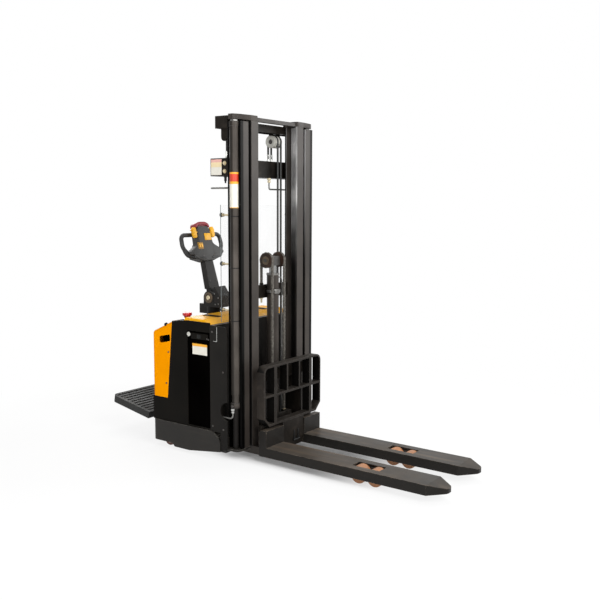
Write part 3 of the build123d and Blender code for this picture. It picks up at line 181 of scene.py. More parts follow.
def dot(first, second):
    node = add_node(first.id_data, "ShaderNodeVectorMath", operation="DOT_PRODUCT")
    join(first, node.inputs[0])
    join(second, node.inputs[1])
    return node.outputs["Value"]


def maths(operation, *values):
    tree = next(value.id_data for value in values if isinstance(value, bpy.types.NodeSocket))
    node = add_node(tree, "ShaderNodeMath", operation=operation)
    for socket, value in zip(node.inputs, values):
        feed(socket, value)
    return node.outputs[0]


def times(first, *others):
    for value in others:
        first = maths("MULTIPLY", first, value)
    return first


def less(whole, part):
    return maths("SUBTRACT", whole, part)


def cut(value, low, high):
    """Map a value between two levels, numbers or sockets, to a mask from 0 to 1."""
    node = add_node(value.id_data, "ShaderNodeMapRange", interpolation_type="SMOOTHSTEP")
    for label, level in (("Value", value), ("From Min", low), ("From Max", high)):
        feed(node.inputs[label], level)
    return node.outputs["Result"]


def scaled(mask, low, high):
    """Spread a mask evenly over another range."""
    node = add_node(mask.id_data, "ShaderNodeMapRange")
    for label, level in (("Value", mask), ("To Min", low), ("To Max", high)):
        feed(node.inputs[label], level)
    return node.outputs["Result"]


def object_noise(tree, scale, detail, stretch=None):
    """Noise on Object coordinates, stretched where asked."""
    source = place_of(tree)
    if stretch is not None:
        mapping = add_node(tree, "ShaderNodeMapping")
        join(source, mapping.inputs["Vector"])
        join(stretch, mapping.inputs["Scale"])
        source = mapping.outputs["Vector"]
    noise = add_node(tree, "ShaderNodeTexNoise")
    for label, value in (("Vector", source), ("Scale", scale), ("Detail", detail)):
        feed(noise.inputs[label], value)
    return noise.outputs["Fac"]


def mix_colour(mask, strength, first, second):
    """Blend to a second colour where the mask is high; the first is a colour or a socket."""
    node = add_node(mask.id_data, "ShaderNodeMix", data_type="RGBA")
    join(times(mask, strength), node.inputs["Factor"])
    for socket, value in ((node.inputs[6], first), (node.inputs[7], second)):
        feed(socket, value if isinstance(value, bpy.types.NodeSocket) else (*value, 1.0))
    return node.outputs[2]


def seen_rays(tree):
    """1 for the rays that show the background: from the camera, off a glossy face or through a clear one."""
    path = add_node(tree, "ShaderNodeLightPath").outputs
    seen = maths("MAXIMUM", path["Is Camera Ray"], path["Is Glossy Ray"])
    return maths("MAXIMUM", seen, path["Is Transmission Ray"])


# Shared effects

def wire_grain(tree, given, out):
    """Fine coating grain as a height, and slow tone changes."""
    join(object_noise(tree, given["Grain Scale"], 3.0), out["Height"])
    join(cut(object_noise(tree, given["Tone Scale"], 5.0), 0.3, 0.7), out["Tone"])


def wire_wear_and_highlight(tree, given, out):
    """Mask of rubbed edges, broken up by noise; their light colour stands partly for rubbed paint and partly
    for the edges' highlights, as painted highlight.
    """
    bevel = add_node(tree, "ShaderNodeBevel", samples=4)
    join(given["Reach"], bevel.inputs["Radius"])
    turn = cut(less(1.0, dot(bevel.outputs["Normal"], normal_of(tree))), 0.02, 0.22)
    broken = cut(object_noise(tree, given["Breakup Scale"], 6.0), 0.36, 0.66)
    join(times(turn, broken), out["Mask"])


def wire_scuff(tree, given, out):
    """Mask of rubbed streaks: noise stretched along one direction."""
    streak = object_noise(tree, given["Scale"], 6.0, given["Stretch"])
    line = cut(streak, given["Start"], maths("ADD", given["Start"], 0.16))
    patch = cut(object_noise(tree, 3.5, 3.0), 0.38, 0.68)
    join(times(line, patch), out["Mask"])


def wire_dust(tree, given, out):
    """Mask of dust that settles on faces that look up."""
    up = cut(split(normal_of(tree))["Z"], 0.25, 0.95)
    patch = cut(object_noise(tree, given["Scale"], 6.0), 0.25, 0.75)
    join(times(up, patch), out["Mask"])


def wire_side_shade(tree, given, out):
    """Mask of the faces that turn away from a given direction and lie inside a width across the truck:
    painted shade, for the sides that get less light.
    """
    away = cut(dot(normal_of(tree), given["Facing"]), 0.75, 0.35)
    across = maths("ABSOLUTE", split(place_of(tree))["Y"])
    inside = maths("LESS_THAN", across, given["Half Width"])
    join(times(away, inside), out["Mask"])


# Half a width that takes in the whole truck
WHOLE_WIDTH = 9.0
EFFECTS = {
    "Coating grain": (wire_grain, {"Grain Scale": 700.0, "Tone Scale": 5.0}, ("Height", "Tone")),
    "Edge wear": (wire_wear_and_highlight, {"Reach": 0.003, "Breakup Scale": 30.0}, ("Mask",)),
    "Scuff streaks": (wire_scuff, {"Stretch": (1.0, 1.0, 0.05), "Scale": 60.0, "Start": 0.55}, ("Mask",)),
    "Settled dust": (wire_dust, {"Scale": 9.0}, ("Mask",)),
    "Painted side shade": (wire_side_shade, {"Facing": (0.0, 0.0, 1.0), "Half Width": WHOLE_WIDTH}, ("Mask",)),
}


def effect_group(name):
    """The node group of a shared effect, built on its first use."""
    if name in bpy.data.node_groups:
        return bpy.data.node_groups[name]
    wire, inputs, outputs = EFFECTS[name]
    tree = bpy.data.node_groups.new(name, "ShaderNodeTree")
    for label, default in inputs.items():
        kind = "NodeSocketVector" if isinstance(default, tuple) else "NodeSocketFloat"
        tree.interface.new_socket(label, in_out="INPUT", socket_type=kind).default_value = default
    for label in outputs:
        tree.interface.new_socket(label, in_out="OUTPUT", socket_type="NodeSocketFloat")
    wire(tree, add_node(tree, "NodeGroupInput").outputs, add_node(tree, "NodeGroupOutput").inputs)
    return tree


def effect(tree, name, **values):
    """Place a shared effect in a material with its own values."""
    node = add_node(tree, "ShaderNodeGroup", node_tree=effect_group(name))
    for label, value in values.items():
        node.inputs[label.replace("_", " ").title()].default_value = value
    return node.outputs


# Finishes

def shade_of(tone, factor):
    return tuple(min(1.0, part * factor) for part in tone)


def new_finish(name):
    material = bpy.data.materials.new(name)
    material.use_nodes = True
    return material, material.node_tree, material.node_tree.nodes["Principled BSDF"].inputs


def add_bump(shader, height, strength):
    bump = add_node(height.id_data, "ShaderNodeBump")
    for label, value in (("Height", height), ("Strength", strength), ("Distance", 0.001)):
        feed(bump.inputs[label], value)
    join(bump.outputs["Normal"], shader["Normal"])


def coat(name, tone, rough, *, grain=(700.0, 0.05), metallic=0.0, specular=0.5, contrast=0.25, tone_scale=5.0,
         wear_and_highlight=None, scuff=None, dust=None, painted_shade=None, darker_below=None, gloss=0.0):
    """A coated or moulded surface: tone changes, grain, and where given, light edges (rubbed paint and
    painted highlight), streaks, dust, painted shade on faces that turn away, and a darker band low down.

    wear_and_highlight is (colour, strength, reach), scuff (colour, strength, stretch, scale, start) and dust
    (colour, strength). painted_shade is (colour, strength, facing, half width), painted shade for the faces
    that don't look that way and lie inside that width. darker_below is (colour, strength, low, high), for
    what lies below a height.
    """
    material, tree, shader = new_finish(name)
    base = effect(tree, "Coating grain", grain_scale=grain[0], tone_scale=tone_scale)
    dark, light = shade_of(tone, 1 - contrast), shade_of(tone, 1 + contrast)
    paint = mix_colour(base["Tone"], 1.0, dark, light)
    if scuff:
        tint, strength, stretch, scale, start = scuff
        streaks = effect(tree, "Scuff streaks", stretch=stretch, scale=scale, start=start)
        paint = mix_colour(streaks["Mask"], strength, paint, tint)
    # Painted shade on the faces that turn away from the given direction
    if painted_shade:
        tint, strength, facing, half_width = painted_shade
        away = effect(tree, "Painted side shade", facing=facing, half_width=half_width)
        paint = mix_colour(away["Mask"], strength, paint, tint)
    if wear_and_highlight:
        tint, strength, reach = wear_and_highlight
        paint = mix_colour(effect(tree, "Edge wear", reach=reach)["Mask"], strength, paint, tint)
    if dust:
        tint, strength = dust
        paint = mix_colour(effect(tree, "Settled dust")["Mask"], strength, paint, tint)
    # Darker below a height
    if darker_below:
        tint, strength, low, high = darker_below
        below = cut(split(place_of(tree))["Z"], high, low)
        paint = mix_colour(below, strength, paint, tint)
    join(paint, shader["Base Color"])
    join(scaled(base["Tone"], *rough), shader["Roughness"])
    add_bump(shader, base["Height"], grain[1])
    shader["Metallic"].default_value = metallic
    shader["Specular IOR Level"].default_value = specular
    if gloss:
        shader["Coat Weight"].default_value = gloss
        shader["Coat Roughness"].default_value = 0.12
    return material


def clear_sheet():
    """Clear plastic whose cut edges show and whose faces carry faint smears."""
    material, tree, shader = new_finish("Clear sheet")
    base = effect(tree, "Coating grain", grain_scale=40.0, tone_scale=4.0)
    edge = less(1.0, maths("ABSOLUTE", split(normal_of(tree))["X"]))
    smear = times(base["Tone"], 0.035)
    see = maths("ADD", times(edge, 0.95), smear)
    join(maths("ADD", see, 0.015), shader["Alpha"])
    join(mix_colour(edge, 1.0, (0.85, 0.88, 0.88), (0.16, 0.18, 0.18)), shader["Base Color"])
    shader["Roughness"].default_value = 0.08
    return material


def chrome_rod():
    """Dark crosshead block above a ground and chromed piston rod."""
    block_foot = 1.188
    material, tree, shader = new_finish("Crosshead and rod")
    rod = cut(split(place_of(tree))["Z"], block_foot + 0.0002, block_foot - 0.0002)
    base = effect(tree, "Coating grain", grain_scale=500.0, tone_scale=14.0)
    dark = mix_colour(base["Tone"], 1.0, (0.02, 0.018, 0.016), (0.045, 0.04, 0.036))
    join(mix_colour(rod, 1.0, dark, (0.3, 0.3, 0.295)), shader["Base Color"])
    join(rod, shader["Metallic"])
    join(less(0.45, times(rod, 0.27)), shader["Roughness"])
    return material


def rail_paint(tone):
    """Mast paint with painted shade: the side faces and the outermost strip of the outer uprights go near
    black, standing in for the shade in the gaps between the profiles; and tracks where the rollers run in the
    channels, rubbed bright and lightened further as a painted highlight.
    """
    material, tree, shader = new_finish("Rail paint")
    base = effect(tree, "Coating grain", grain_scale=700.0, tone_scale=5.0)
    streaks = effect(tree, "Scuff streaks", stretch=(1.0, 1.0, 0.012), scale=34.0, start=0.4)
    edge = effect(tree, "Edge wear", reach=0.004)
    # Levels across the truck of the strip painted as a shadow gap, of the tracks along it, and the heights
    # over which the tracks' painted highlight shows
    shadow_rim_levels, tracks, rubbed = (0.332, 0.34), (FRONT - 0.092, FRONT - 0.082), (1.15, 1.95)
    face = split(normal_of(tree))
    place = split(place_of(tree))
    sides = cut(maths("ABSOLUTE", face["Y"]), 0.45, 0.85)
    rim = cut(maths("ABSOLUTE", place["Y"]), *shadow_rim_levels)
    inward = cut(times(face["Y"], maths("SIGN", place["Y"])), -0.3, -0.8)
    track = cut(place["X"], *tracks)
    height = cut(place["Z"], *rubbed)
    # Painted highlight: the rubbed tracks turn nearly white above a height, standing in for their bright
    # reflections
    track_wear_and_highlight = times(track, height, inward, maths("ADD", streaks["Mask"], 0.35))
    paint = mix_colour(base["Tone"], 1.0, shade_of(tone, 0.8), shade_of(tone, 1.2))
    # Painted shade: the side faces go near black, as the gaps between the profiles lie in shade
    paint = mix_colour(sides, 0.92, paint, (0.0035, 0.0033, 0.0032))
    # Painted shadow: the outermost strip of the outer uprights goes near black, as a shadow gap
    paint = mix_colour(rim, 0.97, paint, (0.0025, 0.0024, 0.0023))
    # Rubbed edges, lightened also as painted highlight, except on the shadow strip
    rubbed_and_highlit = times(edge["Mask"], less(1.0, rim))
    paint = mix_colour(rubbed_and_highlit, 0.6, paint, (0.17, 0.15, 0.135))
    join(mix_colour(track_wear_and_highlight, 1.0, paint, (0.86, 0.85, 0.84)), shader["Base Color"])
    # The painted shadow strip is also metallic, so that it reflects almost nothing
    metal = maths("MAXIMUM", times(track_wear_and_highlight, 0.25), times(rim, 0.9))
    join(metal, shader["Metallic"])
    join(less(0.42, times(track_wear_and_highlight, 0.16)), shader["Roughness"])
    shader["Specular IOR Level"].default_value = 0.2
    add_bump(shader, base["Height"], 0.05)
    return material


# Light colour of rubbed edges, which also serves as their painted highlight
BARE_STEEL_AND_HIGHLIGHT = (0.15, 0.14, 0.135)
GREY_DUST = (0.16, 0.145, 0.125)
UPRIGHT, LENGTHWISE, ALL_WAYS = (1.0, 1.0, 0.035), (0.05, 1.0, 1.0), (1.0, 1.0, 1.0)


def frame_paints(colours):
    """Paints of the mast, the carriage and the forks."""
    backrest_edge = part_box("load_backrest")[1].y - 0.0012
    return {
        "mast_paint": coat(
            "Mast paint", colours.mast, (0.36, 0.48), specular=0.18, wear_and_highlight=(BARE_STEEL_AND_HIGHLIGHT, 0.45, 0.004),
            scuff=((0.085, 0.076, 0.068), 0.35, UPRIGHT, 55.0, 0.52), dust=(GREY_DUST, 0.12)),
        "rail_paint": rail_paint(colours.mast),
        "cylinder_paint": coat(
            "Cylinder paint", colours.cylinder, (0.34, 0.42), specular=0.08, contrast=0.3,
            # Painted shade: the side of the barrel that turns away from the front goes darker
            painted_shade=((0.013, 0.0115, 0.01), 0.8, (1.6, 0.0, 0.0), WHOLE_WIDTH),
            scuff=((0.095, 0.086, 0.078), 0.35, UPRIGHT, 45.0, 0.5),
            # Darker towards the barrel's foot
            darker_below=((0.0045, 0.0042, 0.004), 0.9, 0.33, 0.375)),
        "beam_paint": coat(
            "Beam paint", colours.beam, (0.4, 0.52), specular=0.09, contrast=0.45,
            wear_and_highlight=(BARE_STEEL_AND_HIGHLIGHT, 0.4, 0.003), dust=(GREY_DUST, 0.15),
            scuff=((0.045, 0.036, 0.029), 0.4, ALL_WAYS, 16.0, 0.5)),
        "carriage_paint": coat(
            "Carriage paint", colours.carriage, (0.38, 0.52), specular=0.09, contrast=0.35,
            # Light edges of the backrest bars: partly rubbed paint, partly painted highlight
            wear_and_highlight=(BARE_STEEL_AND_HIGHLIGHT, 0.6, 0.0035), dust=(GREY_DUST, 0.18),
            # Painted shade: inside the backrest's width, faces that look neither forward nor up go near
            # black, as the cells lie in shade
            painted_shade=((0.0022, 0.002, 0.0018), 0.95, (1.0, 0.0, 0.8), backrest_edge),
            scuff=((0.06, 0.048, 0.038), 0.4, ALL_WAYS, 18.0, 0.52)),
        "fork_paint": coat(
            "Fork paint", colours.fork, (0.36, 0.54), specular=0.18, contrast=0.55,
            # Light edges along the blades: partly rubbed paint, partly painted highlight
            wear_and_highlight=((0.26, 0.21, 0.165), 0.7, 0.006), dust=(GREY_DUST, 0.14),
            # Painted shade: the faces that don't look up go darker, as the blades' sides get less light
            painted_shade=((0.0075, 0.0065, 0.0054), 0.95, (0.0, 0.0, 1.0), WHOLE_WIDTH),
            scuff=((0.105, 0.074, 0.05), 0.65, LENGTHWISE, 26.0, 0.46)),
    }


def body_paints(colours):
    """Paints of the body and its covers."""
    return {
        "body_paint": coat(
            "Body paint", colours.body, (0.44, 0.56), grain=(900.0, 0.1), specular=0.045,
            wear_and_highlight=((0.075, 0.068, 0.06), 0.35, 0.003), dust=(GREY_DUST, 0.12)),
        "skirt_paint": coat(
            "Skirt paint", colours.skirt, (0.46, 0.58), grain=(900.0, 0.12), specular=0.22,
            # Light top edge of the skirt's ledge: partly rubbed paint, partly painted highlight
            wear_and_highlight=((0.26, 0.24, 0.21), 0.6, 0.006), dust=(GREY_DUST, 0.2),
            scuff=((0.05, 0.042, 0.034), 0.4, LENGTHWISE, 30.0, 0.52)),
        "grey_paint": coat(
            "Front plate paint", colours.plate, (0.42, 0.54), grain=(900.0, 0.1), specular=0.1,
            wear_and_highlight=((0.1, 0.09, 0.08), 0.4, 0.003), dust=(GREY_DUST, 0.15)),
        # Painted shade: near black and without reflection, for the doors in the side panels' recesses
        "door_paint": coat("Door paint", colours.door, (0.3, 0.4), specular=0.0, contrast=0.4),
        "yellow_cover": coat(
            "Cover yellow", colours.cover, (0.36, 0.46), grain=(1100.0, 0.05), contrast=0.04, specular=0.0,
            wear_and_highlight=((0.95, 0.55, 0.12), 0.3, 0.003)),
        "hood_yellow": coat(
            "Hood yellow", colours.hood, (0.3, 0.42), grain=(1100.0, 0.05), contrast=0.05, specular=0.08,
            wear_and_highlight=((0.95, 0.62, 0.22), 0.35, 0.003), dust=((0.62, 0.45, 0.2), 0.12)),
    }


def plastics(colours):
    """Plastics, rubbers and treads."""
    return {
        "yellow_key": coat("Key yellow", colours.key, (0.36, 0.46), grain=(1600.0, 0.05), contrast=0.06),
        "key_frame": coat(
            "Key frame", (0.36, 0.18, 0.008), (0.4, 0.5), grain=(1600.0, 0.05), contrast=0.08),
        "red_key": coat(
            "Stop red", colours.stop, (0.3, 0.42), grain=(1500.0, 0.04), contrast=0.1, gloss=0.2),
        "belly_red": coat(
            "Safety button red", colours.belly, (0.4, 0.5), grain=(1500.0, 0.06), contrast=0.12),
        "head_plastic": coat(
            "Head plastic", colours.head, (0.5, 0.6), grain=(1300.0, 0.16), specular=0.4, contrast=0.1,
            wear_and_highlight=((0.11, 0.105, 0.1), 0.35, 0.002), dust=(GREY_DUST, 0.12)),
        "grip_plastic": coat(
            "Grip plastic", colours.grip, (0.44, 0.56), grain=(1000.0, 0.3), specular=0.45, contrast=0.15),
        "case_plastic": coat(
            "Housing plastic", (0.02, 0.02, 0.022), (0.5, 0.62), grain=(900.0, 0.15), contrast=0.15,
            dust=(GREY_DUST, 0.4)),
        "black_cap": coat(
            "Black cap", (0.006, 0.006, 0.006), (0.36, 0.48), grain=(900.0, 0.05), specular=0.18,
            contrast=0.2),
        "pale_nylon": coat(
            "Pale nylon", colours.nylon, (0.42, 0.55), grain=(700.0, 0.05), contrast=0.1,
            scuff=((0.3, 0.28, 0.24), 0.6, ALL_WAYS, 30.0, 0.52)),
        "wheel_tread": coat(
            "Amber tread", colours.tread, (0.4, 0.55), grain=(300.0, 0.08), contrast=0.12,
            scuff=((0.3, 0.14, 0.06), 0.5, ALL_WAYS, 40.0, 0.55)),
        "castor_tread": coat(
            "Castor tread", (0.115, 0.034, 0.018), (0.45, 0.6), grain=(300.0, 0.1), contrast=0.25,
            scuff=((0.05, 0.022, 0.014), 0.5, ALL_WAYS, 40.0, 0.5)),
        "mat_rubber": coat(
            "Mat rubber", colours.rubber, (0.62, 0.78), grain=(500.0, 0.35), specular=0.35, contrast=0.2,
            dust=((0.12, 0.115, 0.105), 0.3)),
        "hose_rubber": coat(
            "Hose rubber", colours.rubber, (0.48, 0.6), grain=(900.0, 0.25), specular=0.45, contrast=0.15),
        "clear_sheet": clear_sheet(),
    }


def metals():
    """Bare, plated and browned metals."""
    return {
        "arm_metal": coat(
            "Arm coating", (0.02, 0.0185, 0.0168), (0.42, 0.52), grain=(900.0, 0.1), specular=0.16,
            wear_and_highlight=((0.14, 0.13, 0.12), 0.4, 0.003), dust=(GREY_DUST, 0.12)),
        "steel": coat(
            "Bright steel", (0.5, 0.5, 0.48), (0.22, 0.34), grain=(400.0, 0.04), metallic=1.0,
            contrast=0.12, tone_scale=30.0),
        "ground_rod": coat(
            "Ground rod", (0.17, 0.17, 0.168), (0.26, 0.32), grain=(300.0, 0.01), metallic=1.0, contrast=0.1,
            tone_scale=12.0),
        "dull_steel": coat(
            "Dull steel", (0.2, 0.195, 0.185), (0.34, 0.46), grain=(500.0, 0.06), metallic=0.8, contrast=0.2,
            tone_scale=24.0),
        "dark_steel": coat(
            "Oiled steel", (0.05, 0.044, 0.04), (0.36, 0.5), grain=(500.0, 0.1), metallic=0.35,
            contrast=0.35, tone_scale=14.0, wear_and_highlight=((0.26, 0.25, 0.24), 0.55, 0.003)),
        "chain_steel": coat(
            "Chain steel", (0.135, 0.124, 0.108), (0.34, 0.46), grain=(800.0, 0.08), metallic=0.4,
            specular=0.3, contrast=0.45, tone_scale=80.0),
        "zinc": coat(
            "Zinc plate", (0.58, 0.5, 0.34), (0.3, 0.42), grain=(600.0, 0.05), metallic=1.0, contrast=0.16,
            tone_scale=60.0),
        "bronze": coat(
            "Browned steel", (0.105, 0.078, 0.052), (0.28, 0.4), grain=(500.0, 0.06), metallic=0.7,
            contrast=0.35, tone_scale=30.0),
        "pulley_brown": coat(
            "Browned pulley", (0.032, 0.0165, 0.0105), (0.34, 0.46), grain=(600.0, 0.08), specular=0.25,
            contrast=0.4, tone_scale=24.0, wear_and_highlight=((0.2, 0.17, 0.14), 0.5, 0.002)),
        "chrome_rod": chrome_rod(),
    }


def plate_faces(colours):
    """Printed faces of the blank plates and the sleeve."""
    tones = {
        "blank_plate": ("Blank plate", colours.blank, 0.04), "plate_band": ("Plate band", colours.band, 0.05),
        "plate_blush": ("Plate blush", (0.8, 0.46, 0.4), 0.05),
        "plate_cream": ("Plate cream", (0.88, 0.72, 0.44), 0.05),
        "sleeve_red": ("Sleeve red", (0.62, 0.045, 0.015), 0.08),
    }
    return {key: coat(name, tone, (0.36, 0.46), contrast=contrast, tone_scale=22.0)
            for key, (name, tone, contrast) in tones.items()}


FINISH = {}
SPECIAL_FINISH = {
    "inner_uprights": "rail_paint", "outer_uprights": "rail_paint", "inner_mid_bar": "beam_paint",
    "mid_beam": "beam_paint", "rear_top_beam": "beam_paint", "inner_base_bar": "beam_paint",
    # The carriage frame takes the darker beam paint, which also paints the shade behind the backrest
    "fork_left": "fork_paint", "fork_right": "fork_paint", "carriage_frame": "beam_paint",
    "load_backrest": "carriage_paint", "bumper_skirt": "skirt_paint", "chassis_frame": "skirt_paint",
    "side_cylinders": "cylinder_paint", "cylinder_pipes": "dull_steel",
    "chain_pulley_left": "pulley_brown", "chain_pulley_right": "pulley_brown", "crosshead": "chrome_rod",
    "tiller_base": "arm_metal", "grip_loops": "grip_plastic", "belly_button": "belly_red",
    "battery_hood": "hood_yellow", "guard_bolts": "zinc", "castor_wheel_left": "castor_tread",
    "castor_wheel_right": "castor_tread", "side_cylinder_rods": "ground_rod",
}


class STACKER_OT_finishes(bpy.types.Operator):
    """Make every finish and give each CAD node its own"""
    bl_idname = "stacker.finishes"
    bl_label = "Finishes"

    def execute(self, context):
        colours = context.scene.stacker_colours
        FINISH.update({**frame_paints(colours), **body_paints(colours), **plastics(colours), **metals(),
                       **plate_faces(colours)})
        for row in frame["record"]["subparts"]:
            slots = NODES[row["node"]].data.materials
            slots.clear()
            slots.append(FINISH[SPECIAL_FINISH.get(row["node"], row["material_slot"])])
        return {"FINISHED"}


class STACKER_OT_soft_edges(bpy.types.Operator):
    """Round the edges of the profiles, plates and covers"""
    bl_idname = "stacker.soft_edges"
    bl_label = "Soft edges"
    weld_distance, segments, least_turn = 0.00002, 2, radians(40)
    # Each node's share of the edge rounding
    rounded = {
        "outer_uprights": 1.3, "inner_uprights": 1.3, "inner_top_frame": 1.3, "rear_top_beam": 0.8,
        "mid_beam": 0.8, "carriage_frame": 1.0, "fork_left": 1.4, "fork_right": 1.4, "load_backrest": 0.8,
        "bumper_skirt": 1.2, "side_panels": 0.8, "front_plates": 0.8, "side_covers": 1.0, "battery_hood": 1.0,
        "top_deck": 0.7, "rear_cover": 0.8, "tiller_base": 1.1, "tiller_arm": 1.6, "platform": 0.8,
        "inner_mid_bar": 0.8, "belly_button": 0.4, "chassis_frame": 0.8, "support_legs": 1.2,
    }

    def execute(self, context):
        for node, share in self.rounded.items():
            weld = NODES[node].modifiers.new("Join", "WELD")
            weld.merge_threshold = self.weld_distance
            bevel = NODES[node].modifiers.new("Round", "BEVEL")
            bevel.width = context.scene.stacker_sizes.edge_round * share
            bevel.segments = self.segments
            bevel.limit_method = "ANGLE"
            bevel.angle_limit = self.least_turn
            bevel.use_clamp_overlap = True
        return {"FINISHED"}


# Shapes

def aim(point, axis):
    """Matrix that takes a part drawn along Z to a point, along an axis."""
    return Matrix.Translation(point) @ Vector(axis).to_track_quat("Z", "Y").to_matrix().to_4x4()


def everything(mesh):
    return mesh.verts[:] + mesh.edges[:] + mesh.faces[:]


def only(kind, items):
    return [item for item in items if isinstance(item, kind)]


def add_shape(mesh, shape, place):
    """Take a small finished shape to its place and join it to a larger mesh."""
    bmesh.ops.transform(shape, matrix=place, verts=shape.verts)
    data = bpy.data.meshes.new("shape")
    shape.to_mesh(data)
    shape.free()
    mesh.from_mesh(data)
    bpy.data.meshes.remove(data)


def round_edges(shape, offset, segments):
    bmesh.ops.bevel(shape, geom=shape.edges, offset=offset, offset_type="OFFSET", segments=segments,
                    profile=0.5, affect="EDGES", material=-1, clamp_overlap=True)


def slab(mesh, low, high, rounding, segments=2):
    """A box between two points, with rounded edges."""
    shape = bmesh.new()
    low, high = Vector(low), Vector(high)
    size = Vector(abs(part) for part in high - low)
    bmesh.ops.create_cube(shape, size=1.0, matrix=Matrix.Diagonal((*size, 1.0)))
    round_edges(shape, min(rounding, min(size) * 0.49), segments)
    add_shape(mesh, shape, Matrix.Translation((low + high) / 2))


def on_panel(mesh, across, upright, depth, rounding, segments=2, side=1):
    """A slab on a side panel in millimetres: from and to along x, along z and off the panel's face."""
    low, high = (spot(x, side * (PANEL_FACE + off), z) for x, off, z in zip(across, depth, upright))
    slab(mesh, low, high, rounding / 1000, segments)


def plate(mesh, outline, low, high, rounding):
    """A flat shape with rounded edges: an outline of (y, z) points between two places along X."""
    shape = bmesh.new()
    face = shape.faces.new([shape.verts.new((low, y, z)) for y, z in outline])
    made = bmesh.ops.extrude_face_region(shape, geom=[face], use_keep_orig=True)["geom"]
    bmesh.ops.translate(shape, vec=(high - low, 0, 0), verts=only(bmesh.types.BMVert, made))
    bmesh.ops.recalc_face_normals(shape, faces=shape.faces)
    round_edges(shape, rounding, 3)
    add_shape(mesh, shape, Matrix.Identity(4))


def turned(mesh, point, axis, profile, steps=28):
    """Turn a profile of (radius, height) points round an axis through a point."""
    shape = bmesh.new()
    points = [shape.verts.new((radius, 0.0, height)) for radius, height in profile]
    edges = [shape.edges.new(pair) for pair in zip(points, points[1:])]
    bmesh.ops.spin(shape, geom=points + edges, axis=UP, cent=(0, 0, 0), angle=tau, steps=steps,
                   use_merge=True)
    bmesh.ops.remove_doubles(shape, verts=shape.verts, dist=0.000004)
    bmesh.ops.recalc_face_normals(shape, faces=shape.faces)
    add_shape(mesh, shape, aim(point, axis))


def disc(mesh, point, axis, radius, height, steps=28):
    """A flat round cap with a chamfered rim."""
    edge = min(0.0008, height / 2, radius / 2)
    turned(mesh, point, axis,
           ((0, 0), (radius, 0), (radius, height - edge), (radius - edge, height), (0, height)), steps)


def ring(mesh, point, axis, inner, outer, height, steps=32):
    """A flat ring with one chamfered rim."""
    edge = min(0.0006, height / 3, (outer - inner) / 3)
    turned(mesh, point, axis, ((inner, 0), (outer, 0), (outer, height - edge), (outer - edge, height),
                               (inner, height), (inner, 0)), steps)


def hexagon(mesh, point, axis, radius, height):
    """A hexagon with a chamfered top, for nuts and bolt heads."""
    turned(mesh, point, axis,
           ((0, 0), (radius, 0), (radius, height * 0.82), (radius * 0.86, height), (0, height)), 6)


def hex_bolt(mesh, point, axis, radius):
    """Bolt head on a washer, seated at a point."""
    disc(mesh, point, axis, radius * 1.35, radius * 0.22, 20)
    hexagon(mesh, Vector(point) + Vector(axis) * radius * 0.2, axis, radius, radius * 0.75)


def socket_screw(mesh, point, axis, radius):
    """Round screw head with a sunk socket."""
    floor, top, bore = radius * 0.18, radius * 0.5, radius * 0.45
    turned(mesh, point, axis, ((0, floor), (bore, floor), (bore, top), (radius * 0.85, top),
                               (radius, radius * 0.3), (radius, 0), (0, 0)), 16)


def bar(mesh, place, radius, depth, segments):
    """A plain round bar about the middle of its length."""
    return bmesh.ops.create_cone(mesh, cap_ends=True, segments=segments, radius1=radius, radius2=radius,
                                 depth=depth, matrix=place)["verts"]


def settle(name, mesh, finish, body=None, crease=35.0):
    """Merge a mesh's double points, make it an object and let it ride on its body, where it has one."""
    bmesh.ops.remove_doubles(mesh, verts=mesh.verts, dist=0.000001)
    bmesh.ops.recalc_face_normals(mesh, faces=mesh.faces)
    data = bpy.data.meshes.new(name)
    mesh.to_mesh(data)
    mesh.free()
    data.shade_smooth()
    data.set_sharp_from_angle(angle=radians(crease))
    data.materials.append(FINISH[finish])
    item = bpy.data.objects.new(name, data)
    bpy.context.scene.collection.objects.link(item)
    if body:
        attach(item, body)
    return item


@contextmanager
def piece(name, finish, body="truck", twin=False, place=None):
    """A mesh to draw one piece in, which then gets its other side's twin or its place, and is settled."""
    mesh = bmesh.new()
    yield mesh
    if twin:
        bmesh.ops.mirror(mesh, geom=everything(mesh), matrix=Matrix.Identity(4), merge_dist=0.0, axis="Y")
    if place:
        bmesh.ops.transform(mesh, matrix=place, verts=mesh.verts)
    settle(name, mesh, finish, body)


def pipe(name, points, radius, finish, body):
    """A bent pipe on one smooth line through its control points, made a mesh."""
    curve = bpy.data.curves.new(name, "CURVE")
    curve.dimensions = "3D"
    curve.bevel_depth = radius
    curve.bevel_resolution = 4
    curve.use_fill_caps = True
    spline = curve.splines.new("NURBS")
    spline.points.add(len(points) - 1)
    for control, point in zip(spline.points, points):
        control.co = (*point, 1.0)
    spline.order_u = 3
    spline.use_endpoint_u = True
    spline.resolution_u = 10
    route = bpy.data.objects.new(name, curve)
    bpy.context.scene.collection.objects.link(route)
    bpy.context.view_layer.update()
    drawn = bpy.data.meshes.new_from_object(route.evaluated_get(bpy.context.evaluated_depsgraph_get()))
    bpy.data.objects.remove(route)
    mesh = bmesh.new()
    mesh.from_mesh(drawn)
    bpy.data.meshes.remove(drawn)
    settle(name, mesh, finish, body, crease=60.0)


# Pieces

